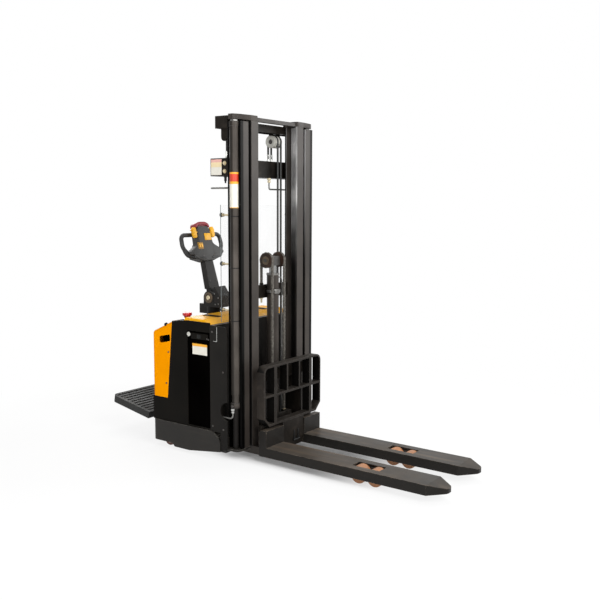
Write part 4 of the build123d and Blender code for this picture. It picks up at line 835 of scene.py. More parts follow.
class STACKER_OT_chains(bpy.types.Operator):
    """Leaf chains, their anchors and the pulley hubs"""
    bl_idname = "stacker.chains"
    bl_label = "Lift chains"
    width, plate_rows, pin_proud = 0.018, 5, 0.0006
    # Units of two pitches on each stretch
    front_units, wrap_units, rear_units = 50, 7, 8
    crosshead_travel = 0.725
    # A pulley's outer face from its middle, its hub's ring as bore, rim and thickness, and the hub's screws
    hub_face, hub_ring = 0.012, (0.0125, 0.026, 0.003)
    hub_screws, screw_circle, screw_radius = 4, 0.021, 0.0032
    # The front lugs' half sizes, nuts and studs as radius and height, and where the nuts start
    lug_x, lug_y, lug_sunk, lug_top = 0.008, 0.0125, 0.0005, 0.004
    nut, lock_nut, stud, rear_stud = (0.01, 0.009), (0.009, 0.006), (0.0055, 0.016), (0.0055, 0.022)
    nut_drop, rear_anchor = 0.026, 0.985

    def unit(self, sizes, pitch, thick):
        """Two pitches of chain along Z, from the origin: plates in turn, and a pin at each joint."""
        mesh = bmesh.new()
        step = (self.width - sizes.chain_plate) / (self.plate_rows - 1)
        flat_side = Matrix.Rotation(pi / 8, 4, "Z")
        for row in range(self.plate_rows):
            middle = (row % 2 + 0.5) * pitch
            across = -self.width / 2 + sizes.chain_plate / 2 + row * step
            link = bar(mesh, aim((0, across, middle), LEFT) @ flat_side, thick / 2, sizes.chain_plate, 8)
            for vert in link:
                vert.co.z += pitch / 2 if vert.co.z > middle else -pitch / 2
        for joint in (0.0, pitch):
            bar(mesh, aim((0, 0, joint), LEFT), sizes.chain_pin, self.width + self.pin_proud, 8)
        return mesh

    def strand(self, sizes, thick, foot, top, units):
        """A straight chain from its foot up to a height."""
        pitch = (top - foot.z) / units / 2
        mesh = self.unit(sizes, pitch, thick)
        bmesh.ops.spin(mesh, geom=everything(mesh), axis=UP, cent=(0, 0, 0), dvec=(0, 0, 2 * pitch),
                       angle=0.0, steps=units - 1, use_duplicate=True)
        bmesh.ops.translate(mesh, vec=foot, verts=mesh.verts)
        return mesh

    def wrap(self, sizes, thick, radius, axle):
        """Half a turn of chain over a pulley."""
        mesh = self.unit(sizes, pi * radius / self.wrap_units / 2, thick)
        bmesh.ops.translate(mesh, vec=(radius, 0, 0), verts=mesh.verts)
        bmesh.ops.spin(mesh, geom=everything(mesh), axis=RIGHT, cent=(0, 0, 0), use_duplicate=True,
                       angle=pi * (self.wrap_units - 1) / self.wrap_units, steps=self.wrap_units - 1)
        bmesh.ops.translate(mesh, vec=axle, verts=mesh.verts)
        return mesh

    def hub(self, mesh, axle, way):
        """Ring and screws on a pulley's outer face."""
        bore, rim, thickness = self.hub_ring
        face = axle + Vector((0, way * self.hub_face, 0))
        ring(mesh, face, (0, way, 0), bore, rim, thickness)
        arm = Vector((self.screw_circle, way * thickness, 0))
        for turn in range(self.hub_screws):
            seat = face + Matrix.Rotation(turn * tau / self.hub_screws, 3, "Y") @ arm
            socket_screw(mesh, seat, (0, way, 0), self.screw_radius)

    def hang(self, mesh, x, y, z, *items):
        """Nuts and a stud under one another."""
        for draw, (radius, height) in items:
            draw(mesh, (x, y, z), DOWN, radius, height)
            z -= height

    def anchors(self, front_x, rear_x, lug):
        """Lugs, nuts and studs at the chains' ends."""
        y = middle_of("chain_pulley_left").y
        with piece("chain_anchors_front", "zinc", "carriage", twin=True) as mesh:
            slab(mesh, (front_x - self.lug_x, y - self.lug_y, lug - self.lug_sunk),
                 (front_x + self.lug_x, y + self.lug_y, lug + self.lug_top), 0.001)
            self.hang(mesh, front_x, y, lug - self.nut_drop, (hexagon, self.nut), (hexagon, self.lock_nut),
                      (disc, self.stud))
        with piece("chain_anchors_rear", "zinc", "inner_mast", twin=True) as mesh:
            self.hang(mesh, rear_x, y, self.rear_anchor, (hexagon, self.nut), (disc, self.rear_stud))

    def execute(self, context):
        sizes = context.scene.stacker_sizes
        front_low, front_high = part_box("chains_front")
        rear_low, rear_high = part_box("chains_rear")
        thick = rear_high.x - rear_low.x
        front_x, rear_x = front_high.x - thick / 2, (rear_low.x + rear_high.x) / 2
        for word, way in (("left", 1), ("right", -1)):
            axle = middle_of(f"chain_pulley_{word}")
            side, fall = axle.y, axle.z - front_low.z
            mesh = self.strand(sizes, thick, Vector((front_x, side, front_low.z)), axle.z, self.front_units)
            front = settle(f"front_chain_{word}", mesh, "chain_steel", "crosshead")
            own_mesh(front)
            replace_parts(front, "chains_front")
            mesh = self.wrap(sizes, thick, front_x - axle.x, axle)
            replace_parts(settle(f"chain_wrap_{word}", mesh, "chain_steel", "crosshead"), "chains_front")
            mesh = self.strand(sizes, thick, Vector((rear_x, side, rear_low.z)), rear_high.z, self.rear_units)
            rear = settle(f"rear_chain_{word}", mesh, "chain_steel")
            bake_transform(rear)
            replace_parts(rear, "chains_rear")
            with piece(f"pulley_hub_{word}", "bronze", f"chain_pulley_{word}") as mesh:
                self.hub(mesh, axle, way)
        self.anchors(front_x, rear_x, front_low.z)
        return {"FINISHED"}


def pull(mesh, loop, vector):
    """Draw a loop of edges out along a vector, and give the new loop."""
    made = bmesh.ops.extrude_edge_only(mesh, edges=loop)["geom"]
    verts = only(bmesh.types.BMVert, made)
    bmesh.ops.translate(mesh, vec=vector, verts=verts)
    return [edge for edge in only(bmesh.types.BMEdge, made) if set(edge.verts) <= set(verts)]


class STACKER_OT_hoses(bpy.types.Operator):
    """Lift hoses over their pulley, with crimped ends"""
    bl_idname = "stacker.hoses"
    bl_label = "Lift hoses"
    sides, bend_steps, spacing = 14, 18, 0.016
    # Shares of the hose's radius, and the crimped sleeve as (share, height)
    nut_share, bore_share, sleeve_share = 1.75, 1.02, 1.35
    crimp = ((1.02, 0), (1.35, 0), (1.35, 0.022), (1.15, 0.024), (1.3, 0.027), (1.3, 0.045), (1.02, 0.047),
             (1.02, 0))
    nut_height, plain_sleeve = 0.011, 0.044
    # The pulley's nut and washer off its faces, and its near face as (radius, height)
    nut_seat, axle_nut, washer = 0.0088, (0.012, 0.007), (0.0085, 0.0155, 0.002)
    face_seat = 0.009
    face = ((0.016, 0), (0.0375, 0), (0.0385, 0.002), (0.0385, 0.005), (0.036, 0.0062), (0.028, 0.0045),
            (0.016, 0.0045), (0.016, 0))

    def over_pulley(self, mesh, radius, foot, axle, low):
        """One hose from its foot up, half a turn over the pulley and down to a height."""
        made = bmesh.ops.create_circle(mesh, segments=self.sides, radius=radius, cap_ends=True,
                                       matrix=Matrix.Translation(foot))
        loop = list({edge for vert in made["verts"] for edge in vert.link_edges})
        loop = pull(mesh, loop, (0, 0, axle.z - foot.z))
        bend = bmesh.ops.spin(mesh, geom=loop, axis=LEFT, cent=(axle.x, foot.y, axle.z), angle=pi,
                              steps=self.bend_steps)
        loop = pull(mesh, only(bmesh.types.BMEdge, bend["geom_last"]), (0, 0, low - axle.z))
        bmesh.ops.contextual_create(mesh, geom=loop)

    def ferrule(self, mesh, radius, point):
        """Crimped sleeve with a nut at its foot."""
        turned(mesh, point, UP, [(radius * share, height) for share, height in self.crimp], 20)
        hexagon(mesh, point, UP, radius * self.nut_share, self.nut_height)

    def execute(self, context):
        radius = context.scene.stacker_sizes.hose_radius
        low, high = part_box("lift_hoses")
        wheel_low, wheel_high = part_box("hose_pulley")
        axle = middle_of("hose_pulley")
        bend = axle.x - low.x - radius
        beam_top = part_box("mid_beam")[1].z
        ends, runs = bmesh.new(), bmesh.new()
        for way in SIDES:
            y = axle.y + way * self.spacing
            self.over_pulley(runs, radius, Vector((axle.x - bend, y, beam_top)), axle, low.z)
            self.ferrule(ends, radius, (axle.x - bend, y, beam_top))
            self.ferrule(ends, radius, (axle.x + bend, y, low.z))
        # Short hose between the two rear beams
        x, y = axle.x, low.y + radius
        bar(runs, Matrix.Translation((x, y, (high.z + beam_top) / 2)), radius, high.z - beam_top, self.sides)
        for z, axis in ((beam_top, UP), (high.z, DOWN)):
            hexagon(ends, (x, y, z), axis, radius * self.nut_share, self.nut_height)
            ring(ends, (x, y, z), axis, radius * self.bore_share, radius * self.sleeve_share,
                 self.plain_sleeve)
        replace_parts(settle("lift_hose_run", runs, "hose_rubber", "truck", crease=50.0), "lift_hoses")
        settle("hose_ferrules", ends, "steel", "truck")
        with piece("hose_pulley_nuts", "dark_steel") as mesh:
            for way, y in zip(SIDES, (wheel_low.y, wheel_high.y)):
                seat = (axle.x, y + way * self.nut_seat, axle.z)
                hexagon(mesh, seat, (0, way, 0), *self.axle_nut)
                ring(mesh, seat, (0, way, 0), *self.washer)
        with piece("hose_pulley_face", "pale_nylon", "hose_pulley") as mesh:
            turned(mesh, (axle.x, wheel_low.y - self.face_seat, axle.z), RIGHT, self.face)
        return {"FINISHED"}


class STACKER_OT_cylinder_trim(bpy.types.Operator):
    """Rod nuts, bands, sleeve and pipe unions of the side lift cylinders"""
    bl_idname = "stacker.cylinder_trim"
    bl_label = "Side cylinder trim"
    barrel, gland = 0.028, 0.031
    # Bands with a tongue each
    band_heights, band_width = (1.495, 1.19, 0.873), 0.006
    band_sunk, band_thickness, tongue_reach, tongue_half = 0.0005, 0.0012, 0.012, 0.004
    # Rings as bore, rim and height, nuts as radius and height, and their places
    gland_drop, gland_ring, wiper = 0.0275, (barrel, 0.0318, 0.0015), (0.0205, 0.026, 0.0025)
    port_height, port_plug = 0.357, (0.009, 0.005)
    collar_rise, collar = 0.015, (0.024, 0.0275, 0.004)
    rod_seat, rod_nut = 0.0035, (0.0235, 0.009)
    pipe_radius, union, elbow = 0.005, (0.011, 0.014), (0.011, 0.016)
    lock_drop, lock_nut = 0.018, (0.009, 0.01)
    sleeve_thickness = 0.0006
    # Each ring of the sleeve on the near cylinder: name, finish, foot and height
    sleeve = (
        ("sleeve_pale", "blank_plate", 1.551, 0.136), ("sleeve_foot", "plate_band", 1.547, 0.004),
        ("sleeve_amber", "plate_band", 1.687, 0.014), ("sleeve_band", "sleeve_red", 1.701, 0.044),
        ("sleeve_rim", "plate_band", 1.745, 0.01),
    )

    def execute(self, context):
        low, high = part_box("side_cylinders")
        x, y, top = (low.x + high.x) / 2, high.y - self.gland, high.z
        barrel, half = self.barrel, self.tongue_half
        with piece("cylinder_bands", "black_cap", twin=True) as mesh:
            for z in self.band_heights:
                ring(mesh, (x, y, z), UP, barrel - self.band_sunk, barrel + self.band_thickness,
                     self.band_width)
                slab(mesh, (x - barrel - self.tongue_reach, y - half, z),
                     (x - barrel + 0.001, y + half, z + self.band_width), 0.0008)
        with piece("cylinder_glands", "dark_steel", twin=True) as mesh:
            ring(mesh, (x, y, top - self.gland_drop), UP, *self.gland_ring)
            ring(mesh, (x, y, top), UP, *self.wiper)
            ring(mesh, (x, y, self.port_height + self.collar_rise), UP, *self.collar)
            hexagon(mesh, (x, high.y - 0.001, self.port_height), LEFT, *self.port_plug)
        with piece("rod_end_nuts", "dull_steel", "inner_mast", twin=True) as mesh:
            hexagon(mesh, (x, y, top + self.rod_seat), UP, *self.rod_nut)
        pipe_low, pipe_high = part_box("cylinder_pipes")
        pipe_y = pipe_high.y - self.pipe_radius
        with piece("pipe_unions", "steel", twin=True) as mesh:
            hexagon(mesh, (x, pipe_y, pipe_high.z), DOWN, *self.union)
            hexagon(mesh, (x, pipe_y, pipe_high.z - self.lock_drop), DOWN, *self.lock_nut)
            hexagon(mesh, (pipe_low.x, pipe_y, pipe_low.z + self.pipe_radius), FORWARD, *self.elbow)
        for name, finish, z, height in self.sleeve:
            with piece(name, finish) as mesh:
                ring(mesh, (x, -y, z), UP, barrel, barrel + self.sleeve_thickness, height, 40)
        return {"FINISHED"}


class STACKER_OT_mast_trim(bpy.types.Operator):
    """Beam bolts, blank plate, sensor, oil pipes, cylinder clamp and guard knobs"""
    bl_idname = "stacker.mast_trim"
    bl_label = "Mast trim"
    # Plate on the middle beam: its edge from the beam's, and the two joints of its faces below the beam's top
    plate_edge, plate_end, plate_joints = 0.006, 0.046, (0.052, 0.024)
    bolt_x, bolt_rise, bolt_drop = 0.022, 0.028, 0.03
    # The sensor's place from the beam's corner, its nut, and shapes as (radius, height)
    sensor_x, sensor_y, sensor_nut = 0.024, 0.009, (0.011, 0.008)
    sensor = ((0, 0), (0.008, 0), (0.008, 0.02), (0.005, 0.024), (0.005, 0.034), (0, 0.035))
    arm = ((0, 0), (0.011, 0), (0.011, 0.006), (0.0055, 0.008), (0.0055, 0.147), (0.004, 0.151), (0, 0.151))
    knob = ((0, 0), (0.0128, 0), (0.0138, 0.003), (0.0138, 0.007), (0.011, 0.0104), (0, 0.0105))
    knob_heights, knob_seat, knob_inset = (0.93, 1.211, 1.505), 0.0105, 0.01
    # The guide arm's foot, and the oil pipe under the middle beam, in millimetres
    arm_foot, union = (-100, -340, 1665), (-140, 83, 1735)
    union_nut, lock_drop, lock_nut = (0.013, 0.014), 0.017, (0.011, 0.012)
    beam_route = ((-140, 83, 1722), (-140, 83, 1690), (-140, 83, 1664), (-140, 110, 1664), (-140, 200, 1664),
                  (-140, 300, 1664), (-140, 324, 1664), (-128, 325, 1664), (-100, 325, 1664))
    # The free lift cylinder's clamp, and the foot in millimetres, heights and couplings of the pipe beside it
    cap_height, cap_thickness, clamp_gap, clamp_thickness = 0.012, 0.003, 0.008, 0.0018
    clamp_height, clamp_width, clamp_turn = 1.018, 0.018, radians(-22)
    ear_half, ear_proud, ear_over, ear_bolt_y, ear_bolt = 0.018, 0.006, 0.005, 0.01, 0.0055
    # How far bands and plates are sunk into what they sit on
    sunk = 0.0002
    pipe_foot, route_heights, joint_height = (-28, 71, 0), (0.3, 0.7, 1.04, 1.1), 0.64
    pipe_top, pipe_bend_y, pipe_end_y, pipe_share = 1.112, 0.055, 0.034, 0.8
    coupling, coupling_sleeve = (0.01, 0.018), (0.005, 0.0082, 0.012)

    def beam_pieces(self, sizes):
        """Bolts, blank plate and sensor at the middle beam's near end."""
        low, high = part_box("mid_beam")
        edge = low.y
        with piece("beam_bolts", "zinc", twin=True) as mesh:
            for z in (low.z + self.bolt_rise, high.z - self.bolt_drop):
                hex_bolt(mesh, (high.x - self.bolt_x, edge, z), RIGHT, sizes.bolt_radius)
        levels = (low.z + self.plate_edge, *(high.z - drop for drop in self.plate_joints),
                  high.z - self.plate_edge)
        faces = (("beam_plate", "blank_plate"), ("beam_plate_band", "plate_cream"),
                 ("beam_plate_top", "plate_blush"))
        for (name, finish), bottom, top in zip(faces, levels, levels[1:]):
            with piece(name, finish) as mesh:
                slab(mesh, (low.x + self.plate_edge, edge - sizes.plate_thickness, bottom),
                     (high.x - self.plate_end, edge + self.sunk, top), 0.0004, 1)
        with piece("beam_sensor", "black_cap") as mesh:
            tip = Vector((high.x - self.sensor_x, edge + self.sensor_y, low.z))
            hexagon(mesh, tip, DOWN, *self.sensor_nut)
            turned(mesh, tip - Vector((0, 0, self.sensor_nut[1])), DOWN, self.sensor)

    def beam_pipes(self, sizes):
        """Guide arm, and the oil pipe with its union."""
        with piece("guide_arm", "dull_steel") as mesh:
            turned(mesh, spot(*self.arm_foot), BACKWARD, self.arm, 20)
        with piece("beam_union", "zinc") as mesh:
            seat = spot(*self.union)
            hexagon(mesh, seat, DOWN, *self.union_nut)
            hexagon(mesh, seat - Vector((0, 0, self.lock_drop)), DOWN, *self.lock_nut)
        route = [spot(*point) for point in self.beam_route]
        pipe("beam_pipe", route, sizes.pipe_radius, "dull_steel", "truck")

    def free_lift(self, sizes):
        """Clamp band, oil pipe and its couplings on the free lift cylinder."""
        low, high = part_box("free_lift_cylinder")
        centre = (low + high) / 2
        barrel = (high.y - low.y) / 2
        clamp, z, half = barrel + self.clamp_gap, self.clamp_height, self.ear_half
        cap, wide, over = self.cap_height, self.clamp_width, self.ear_over
        with piece("cylinder_clamp", "dull_steel", "inner_mast") as mesh:
            ring(mesh, (centre.x, 0, high.z - cap), UP, barrel - self.sunk, barrel + self.cap_thickness, cap)
            ring(mesh, (centre.x, 0, z), UP, clamp - self.sunk, clamp + self.clamp_thickness, wide)
            ear, lip = bmesh.new(), clamp + self.ear_proud
            slab(ear, (clamp - 0.001, -half, z - over), (lip, half, z + wide + over), 0.002)
            for side in SIDES:
                hex_bolt(ear, (lip, side * self.ear_bolt_y, z + wide / 2), FORWARD, self.ear_bolt)
            turn = Matrix.Rotation(self.clamp_turn, 4, "Z")
            add_shape(mesh, ear, Matrix.Translation((centre.x, 0, 0)) @ turn)
        base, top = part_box("inner_base_bar")[1].z, self.pipe_top
        x, y, _ = spot(*self.pipe_foot)
        route = [(x, y, height) for height in (base, *self.route_heights)]
        route += [(x - 0.004, self.pipe_bend_y, top), (centre.x + 0.006, self.pipe_end_y, top)]
        pipe("free_lift_pipe", route, sizes.pipe_radius * self.pipe_share, "dull_steel", "inner_mast")
        with piece("pipe_couplings", "dull_steel", "inner_mast") as mesh:
            for height in (base, self.joint_height):
                hexagon(mesh, (x, y, height), UP, *self.coupling)
                ring(mesh, (x, y, height + self.coupling[1]), UP, *self.coupling_sleeve)

    def execute(self, context):
        sizes = context.scene.stacker_sizes
        self.beam_pieces(sizes)
        self.beam_pipes(sizes)
        self.free_lift(sizes)
        low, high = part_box("guard_bolts")
        with piece("guard_knobs", "black_cap", twin=True) as mesh:
            for z in self.knob_heights:
                turned(mesh, (low.x + self.knob_seat, high.y - self.knob_inset, z), BACKWARD, self.knob, 20)
        return {"FINISHED"}


class STACKER_OT_body_trim(bpy.types.Operator):
    """Doors, latches, blank plates, screws, stop button collar and buffers of the body"""
    bl_idname = "stacker.body_trim"
    bl_label = "Body trim"
    # Flat pieces of both side panels in millimetres: x, z, depth off the face, rounding and its segments
    flat_pieces = (
        # The doors' near-black paint also paints the shade of the recesses they sit in
        ("battery_doors", "door_paint", (-403, -219), (193, 789), (-5, -3), 1.2, 2),
        ("door_latches", "body_paint", (-372, -232), (742, 778), (-3.2, 0.8), 10, 4),
        ("latch_pulls", "black_cap", (-322, -290), (748, 772), (0.2, 1.6), 6, 3),
    )
    hand_hold = (-624, -553), (679, 691), (-6.5, -0.2), 5, 3
    # The near side's blank plate, and the front lit edge strips as x, z and rounding: bright steel that
    # stands partly for a metal edge and partly for the recess edge's highlight, as painted highlight
    plate_x, plate_depth = (-363, -241), (-3, -1.8)
    plates = (("door_plate", "blank_plate", (646, 698)), ("door_plate_band", "plate_band", (698, 714)))
    lit_edge_strip_depth = (-0.5, 1.5)
    lit_edge_strips = (((-160, -156.5), (748, 832), 0.6), ((-186, -160), (742, 745.5), 0.6),
                ((-162, -157), (743, 749), 1.2))
    # Screws of the side panels: x, z, depth off the face and share of the screw radius
    screws = ((-571, 634, 0, 1), (-593, 430, 0, 1), (-238, 752, -0.5, 0.8), (-226, 748, -0.5, 0.8),
              (-196, 215, 0, 1), (-196, 800, 0, 1), (-110, 560, 0, 1), (-110, 205, 0, 1))
    disc_x, disc_z = -392, 768
    # The hood's hand slot, and the bars of its frame
    slot_x, slot_y, slot_bar = (-412, -284), (216, 256), 8
    # A buffer's place and axis
    buffer_x, buffer_inset, buffer_z, buffer_axis = -600, 13, 806, (-0.55, 0, 0.83)
    # From here in metres: the buffer and the stop button's neck as (radius, height), the stop button's rings
    # as bore, rim and height, and the rear cover's trim
    disc_radius = 0.014
    buffer = ((0, -0.01), (0.01, -0.01), (0.012, 0), (0.012, 0.006), (0.009, 0.011), (0, 0.012))
    stop_collar, stop_mark, neck_drop = (0.0179, 0.0235, 0.006), (0.01, 0.0125, 0.0005), 0.018
    stop_neck = ((0.015, -0.0002), (0.0265, -0.0002), (0.0215, 0.006), (0.0175, 0.014), (0.017, 0.019),
                 (0.015, 0.019), (0.015, -0.0002))
    rear_screw_y, rear_screws = 0.29, (0.215, 0.47, 0.725)
    louvre_rows, louvre_pitch, louvre_foot = 6, 0.02, 0.56
    louvre_half, louvre_height, louvre_proud = 0.11, 0.008, 0.003

    def side_pieces(self, sizes):
        """Doors, latches, plates, screws, lit edge strips and buffers of the side panels."""
        for name, finish, *measures in self.flat_pieces:
            with piece(name, finish, twin=True) as mesh:
                on_panel(mesh, *measures)
        with piece("panel_discs", "pale_nylon", twin=True) as mesh:
            disc(mesh, spot(self.disc_x, PANEL_FACE, self.disc_z), LEFT, self.disc_radius,
                 sizes.plate_thickness)
        for name, finish, upright in self.plates:
            with piece(name, finish) as mesh:
                on_panel(mesh, self.plate_x, upright, self.plate_depth, 0.4, 1, side=-1)
        with piece("cover_screws", "dark_steel", twin=True) as mesh:
            for x, z, off, share in self.screws:
                socket_screw(mesh, spot(x, PANEL_FACE + off, z), LEFT, sizes.screw_radius * share)
        # Painted highlight in part: bright steel strips along the recess edge by the front plate
        with piece("front_lit_edge_strips", "steel", twin=True) as mesh:
            for across, upright, rounding in self.lit_edge_strips:
                on_panel(mesh, across, upright, self.lit_edge_strip_depth, rounding, 1)
        with piece("cover_buffers", "black_cap", twin=True) as mesh:
            seat = spot(self.buffer_x, PANEL_FACE - self.buffer_inset, self.buffer_z)
            turned(mesh, seat, self.buffer_axis, self.buffer)

    def hood_slots(self):
        """Raised black frames round the hand slots of the battery hood; their black also paints the slots'
        shade as a dark outline.
        """
        crown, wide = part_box("battery_hood")[1].z * 1000, self.slot_bar
        low, high, half, rounding = crown - 0.5, crown + 4.5, wide / 2, 0.0015
        (back, front), (inner, outer) = self.slot_x, self.slot_y
        with piece("hand_slot_shade_frames", "black_cap", twin=True) as mesh:
            for x in (back, front - wide):
                slab(mesh, spot(x, inner, low), spot(x + wide, outer, high), rounding)
            for y in (inner, outer - wide):
                slab(mesh, spot(back + half, y, low), spot(front - half, y + wide, high), rounding)

    def stop_pieces(self):
        """Collar, mark and neck of the stop button."""
        x, y, _ = middle_of("stop_button")
        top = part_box("stop_button")[1].z
        with piece("stop_collar", "steel") as mesh:
            ring(mesh, (x, y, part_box("battery_hood")[0].z), UP, *self.stop_collar)
        with piece("stop_mark", "belly_red", "stop_button") as mesh:
            ring(mesh, (x, y, top - self.stop_mark[2]), UP, *self.stop_mark)
        with piece("stop_neck", "red_key", "stop_button") as mesh:
            turned(mesh, (x, y, top - self.neck_drop), DOWN, self.stop_neck)

    def execute(self, context):
        sizes = context.scene.stacker_sizes
        self.side_pieces(sizes)
        self.hood_slots()
        self.stop_pieces()
        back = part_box("rear_cover")[0].x
        with piece("rear_screws", "dull_steel", twin=True) as mesh:
            for z in self.rear_screws:
                socket_screw(mesh, (back, self.rear_screw_y, z), BACKWARD, sizes.screw_radius)
        with piece("rear_louvres", "skirt_paint") as mesh:
            for row in range(self.louvre_rows):
                z = self.louvre_foot + row * self.louvre_pitch
                slab(mesh, (back - self.louvre_proud, -self.louvre_half, z),
                     (back + 0.0005, self.louvre_half, z + self.louvre_height), 0.0014)
        with piece("hand_hold_lips", "yellow_cover", twin=True) as mesh:
            on_panel(mesh, *self.hand_hold)
        return {"FINISHED"}


class STACKER_OT_tiller_trim(bpy.types.Operator):
    """Panels, screws, caps and pivot discs of the tiller"""
    bl_idname = "stacker.tiller_trim"
    bl_label = "Tiller trim"
    # From the tiller's pivot, along its arm: outlines of one side as (y, z), each with its x and rounding
    paddle = ((0.076, 0.403), (0.094, 0.403), (0.102, 0.414), (0.105, 0.432), (0.105, 0.45), (0.102, 0.468),
              (0.094, 0.477), (0.076, 0.477), (0.07, 0.466), (0.07, 0.414))
    paddle_depth = (0.0105, 0.033, 0.0062)
    wing = ((0.052, 0.372), (0.086, 0.352), (0.104, 0.342), (0.14, 0.322), (0.156, 0.311), (0.158, 0.3),
            (0.148, 0.29), (0.08, 0.284), (0.05, 0.282))
    wing_depth = (-0.024, 0.0325, 0.006)
    arch = ((0.025, 0.5118), (0.033, 0.5105), (0.0445, 0.5065), (0.056, 0.5014), (0.0635, 0.4935),
            (0.0672, 0.485), (0.0665, 0.474), (0.0605, 0.4708), (0.04, 0.4913))
    arch_crown, arch_depth = (0.0, 0.5122), (-0.024, 0.028, 0.0022)
    # Corners and rounding of the flat pieces
    panel = (0.0315, -0.007, 0.384), (0.0345, 0.057, 0.431), 0.0012
    paddle_tab = (0.016, 0.1, 0.452), (0.0215, 0.117, 0.46), 0.002
    button_frame = (0.031, -0.086, 0.327), (0.033, -0.034, 0.371), 0.0009
    # Screws of the head and the arm: x, y, z and radius
    screws = ((0.0318, 0.05, 0.278, 0.005), (0.022, 0.03, 0.11, 0.0055))
    # Control points of the left grip's foot
    grip_radius = 0.014
    grip_foot = ((-0.009, 0.178, 0.332), (-0.009, 0.168, 0.3), (0.004, 0.14, 0.281), (0.018, 0.1, 0.275),
                 (0.021, 0.06, 0.271), (0.021, 0.03, 0.266))
    # The housing's side, its screws as (x, z), and the pivot's cap and hub as (radius, height)
    housing_side, housing_screw = 0.053, 0.005
    housing_screws = ((0.052, 0.03), (0.06, -0.04), (0.086, -0.036), (0.086, 0.004))
    cap = ((0, 0), (0.036, 0), (0.036, 0.002), (0.034, 0.003), (0.024, 0.003), (0.023, 0.002), (0, 0.002))
    hub_seat = housing_side + 0.0018
    hub = ((0, 0), (0.016, 0), (0.016, 0.003), (0.012, 0.0055), (0.006, 0.0055), (0.005, 0.0045), (0, 0.0045))

    def head_pieces(self):
        """Panel, screws, paddles, frame, wings, grip feet and end cap of the tiller's head."""
        with piece("head_panel", "yellow_key", "tiller", place=TILLER) as mesh:
            slab(mesh, *self.panel)
        with piece("head_screws", "dark_steel", "tiller", place=TILLER) as mesh:
            for side in SIDES:
                for x, y, z, radius in self.screws:
                    socket_screw(mesh, (x, side * y, z), FORWARD, radius)
        with piece("thumb_paddles", "yellow_key", "throttle_butterflies", twin=True, place=TILLER) as mesh:
            plate(mesh, self.paddle, *self.paddle_depth)
            slab(mesh, *self.paddle_tab)
        with piece("button_frame", "key_frame", "tiller", place=TILLER) as mesh:
            slab(mesh, *self.button_frame)
        with piece("head_wings", "head_plastic", "tiller", twin=True, place=TILLER) as mesh:
            plate(mesh, self.wing, *self.wing_depth)
        for side, word in zip(SIDES, ("right", "left")):
            route = [TILLER @ Vector((x, side * y, z)) for x, y, z in self.grip_foot]
            pipe(f"grip_foot_{word}", route, self.grip_radius, "grip_plastic", "tiller")
        with piece("belly_cap", "belly_red", "belly_button", place=TILLER) as mesh:
            far_side = [(-y, z) for y, z in reversed(self.arch)]
            plate(mesh, (self.arch_crown, *self.arch, *far_side), *self.arch_depth)

    def execute(self, context):
        self.head_pieces()
        x, _, z = TILLER_PIVOT
        for name, finish, seat, profile, steps in (("pivot_caps", "bronze", self.housing_side, self.cap, 36),
                                                   ("pivot_hubs", "zinc", self.hub_seat, self.hub, 24)):
            with piece(name, finish, "steering") as mesh:
                for side in SIDES:
                    turned(mesh, (x, side * seat, z), (0, side, 0), profile, steps)
        with piece("housing_screws", "dull_steel", "steering") as mesh:
            for side in SIDES:
                for along, rise in self.housing_screws:
                    seat = (x + along, side * self.housing_side, z + rise)
                    socket_screw(mesh, seat, (0, side, 0), self.housing_screw)
        return {"FINISHED"}


class STACKER_OT_wheel_trim(bpy.types.Operator):
    """Hubs and bearing seals of every wheel"""
    bl_idname = "stacker.wheel_trim"
    bl_label = "Wheel hubs"
    # Bore and rim of each kind of wheel
    kinds = {"drive": (0.0202, 0.075), "castor": (0.0082, 0.028), "load": (0.0102, 0.026)}
    wheels = ("drive_wheel", "castor_wheel_left", "load_wheel_front_left", "load_wheel_rear_left",
              "castor_wheel_right", "load_wheel_front_right", "load_wheel_rear_right")
    seal, rise, sunk = 0.001, 0.0018, 0.0004
    step_share = 0.45

    def execute(self, context):
        for node in self.wheels:
            bore, rim = self.kinds[node.split("_")[0]]
            step = bore + (rim - bore) * self.step_share
            profile = ((bore, 0), (rim, 0), (rim, self.seal), (step, self.seal), (step, self.rise),
                       (bore, self.rise), (bore, 0))
            low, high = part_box(node)
            x, _, z = middle_of(node)
            with piece(f"{node}_hub", "steel", node) as mesh:
                for way, y in zip(SIDES, (low.y, high.y)):
                    turned(mesh, (x, y - way * self.sunk, z), (0, way, 0), profile)
        return {"FINISHED"}


class STACKER_OT_carriage_trim(bpy.types.Operator):
    """Latch with its two cheeks and its pin on the carriage"""
    bl_idname = "stacker.carriage_trim"
    bl_label = "Carriage trim"
    cheeks, cheek_half, cheek_foot, cheek_top = (0.006, 0.046), 0.006, 0.08, 0.15
    cheek_proud, boss_seat, boss_height, boss = 0.004, 0.003, 0.098, (0.011, 0.004)
    pin_seat, pin_height, pin_radius, pin_reach, pin_edge = 0.0045, 0.088, 0.005, 0.034, 0.001

    def execute(self, context):
        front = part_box("load_backrest")[1].x
        half, reach, end = self.cheek_half, self.pin_reach, self.pin_reach - self.pin_edge
        with piece("carriage_latch", "black_cap", "carriage") as mesh:
            for side in self.cheeks:
                slab(mesh, (front - 0.001, side - half, self.cheek_foot),
                     (front + self.cheek_proud, side + half, self.cheek_top), 0.002)
                disc(mesh, (front + self.boss_seat, side, self.boss_height), FORWARD, *self.boss)
            turned(mesh, (front + self.pin_seat, sum(self.cheeks) / 2, self.pin_height), LEFT,
                   ((0, -reach), (self.pin_radius, -end), (self.pin_radius, end), (0, reach)), 16)
        return {"FINISHED"}


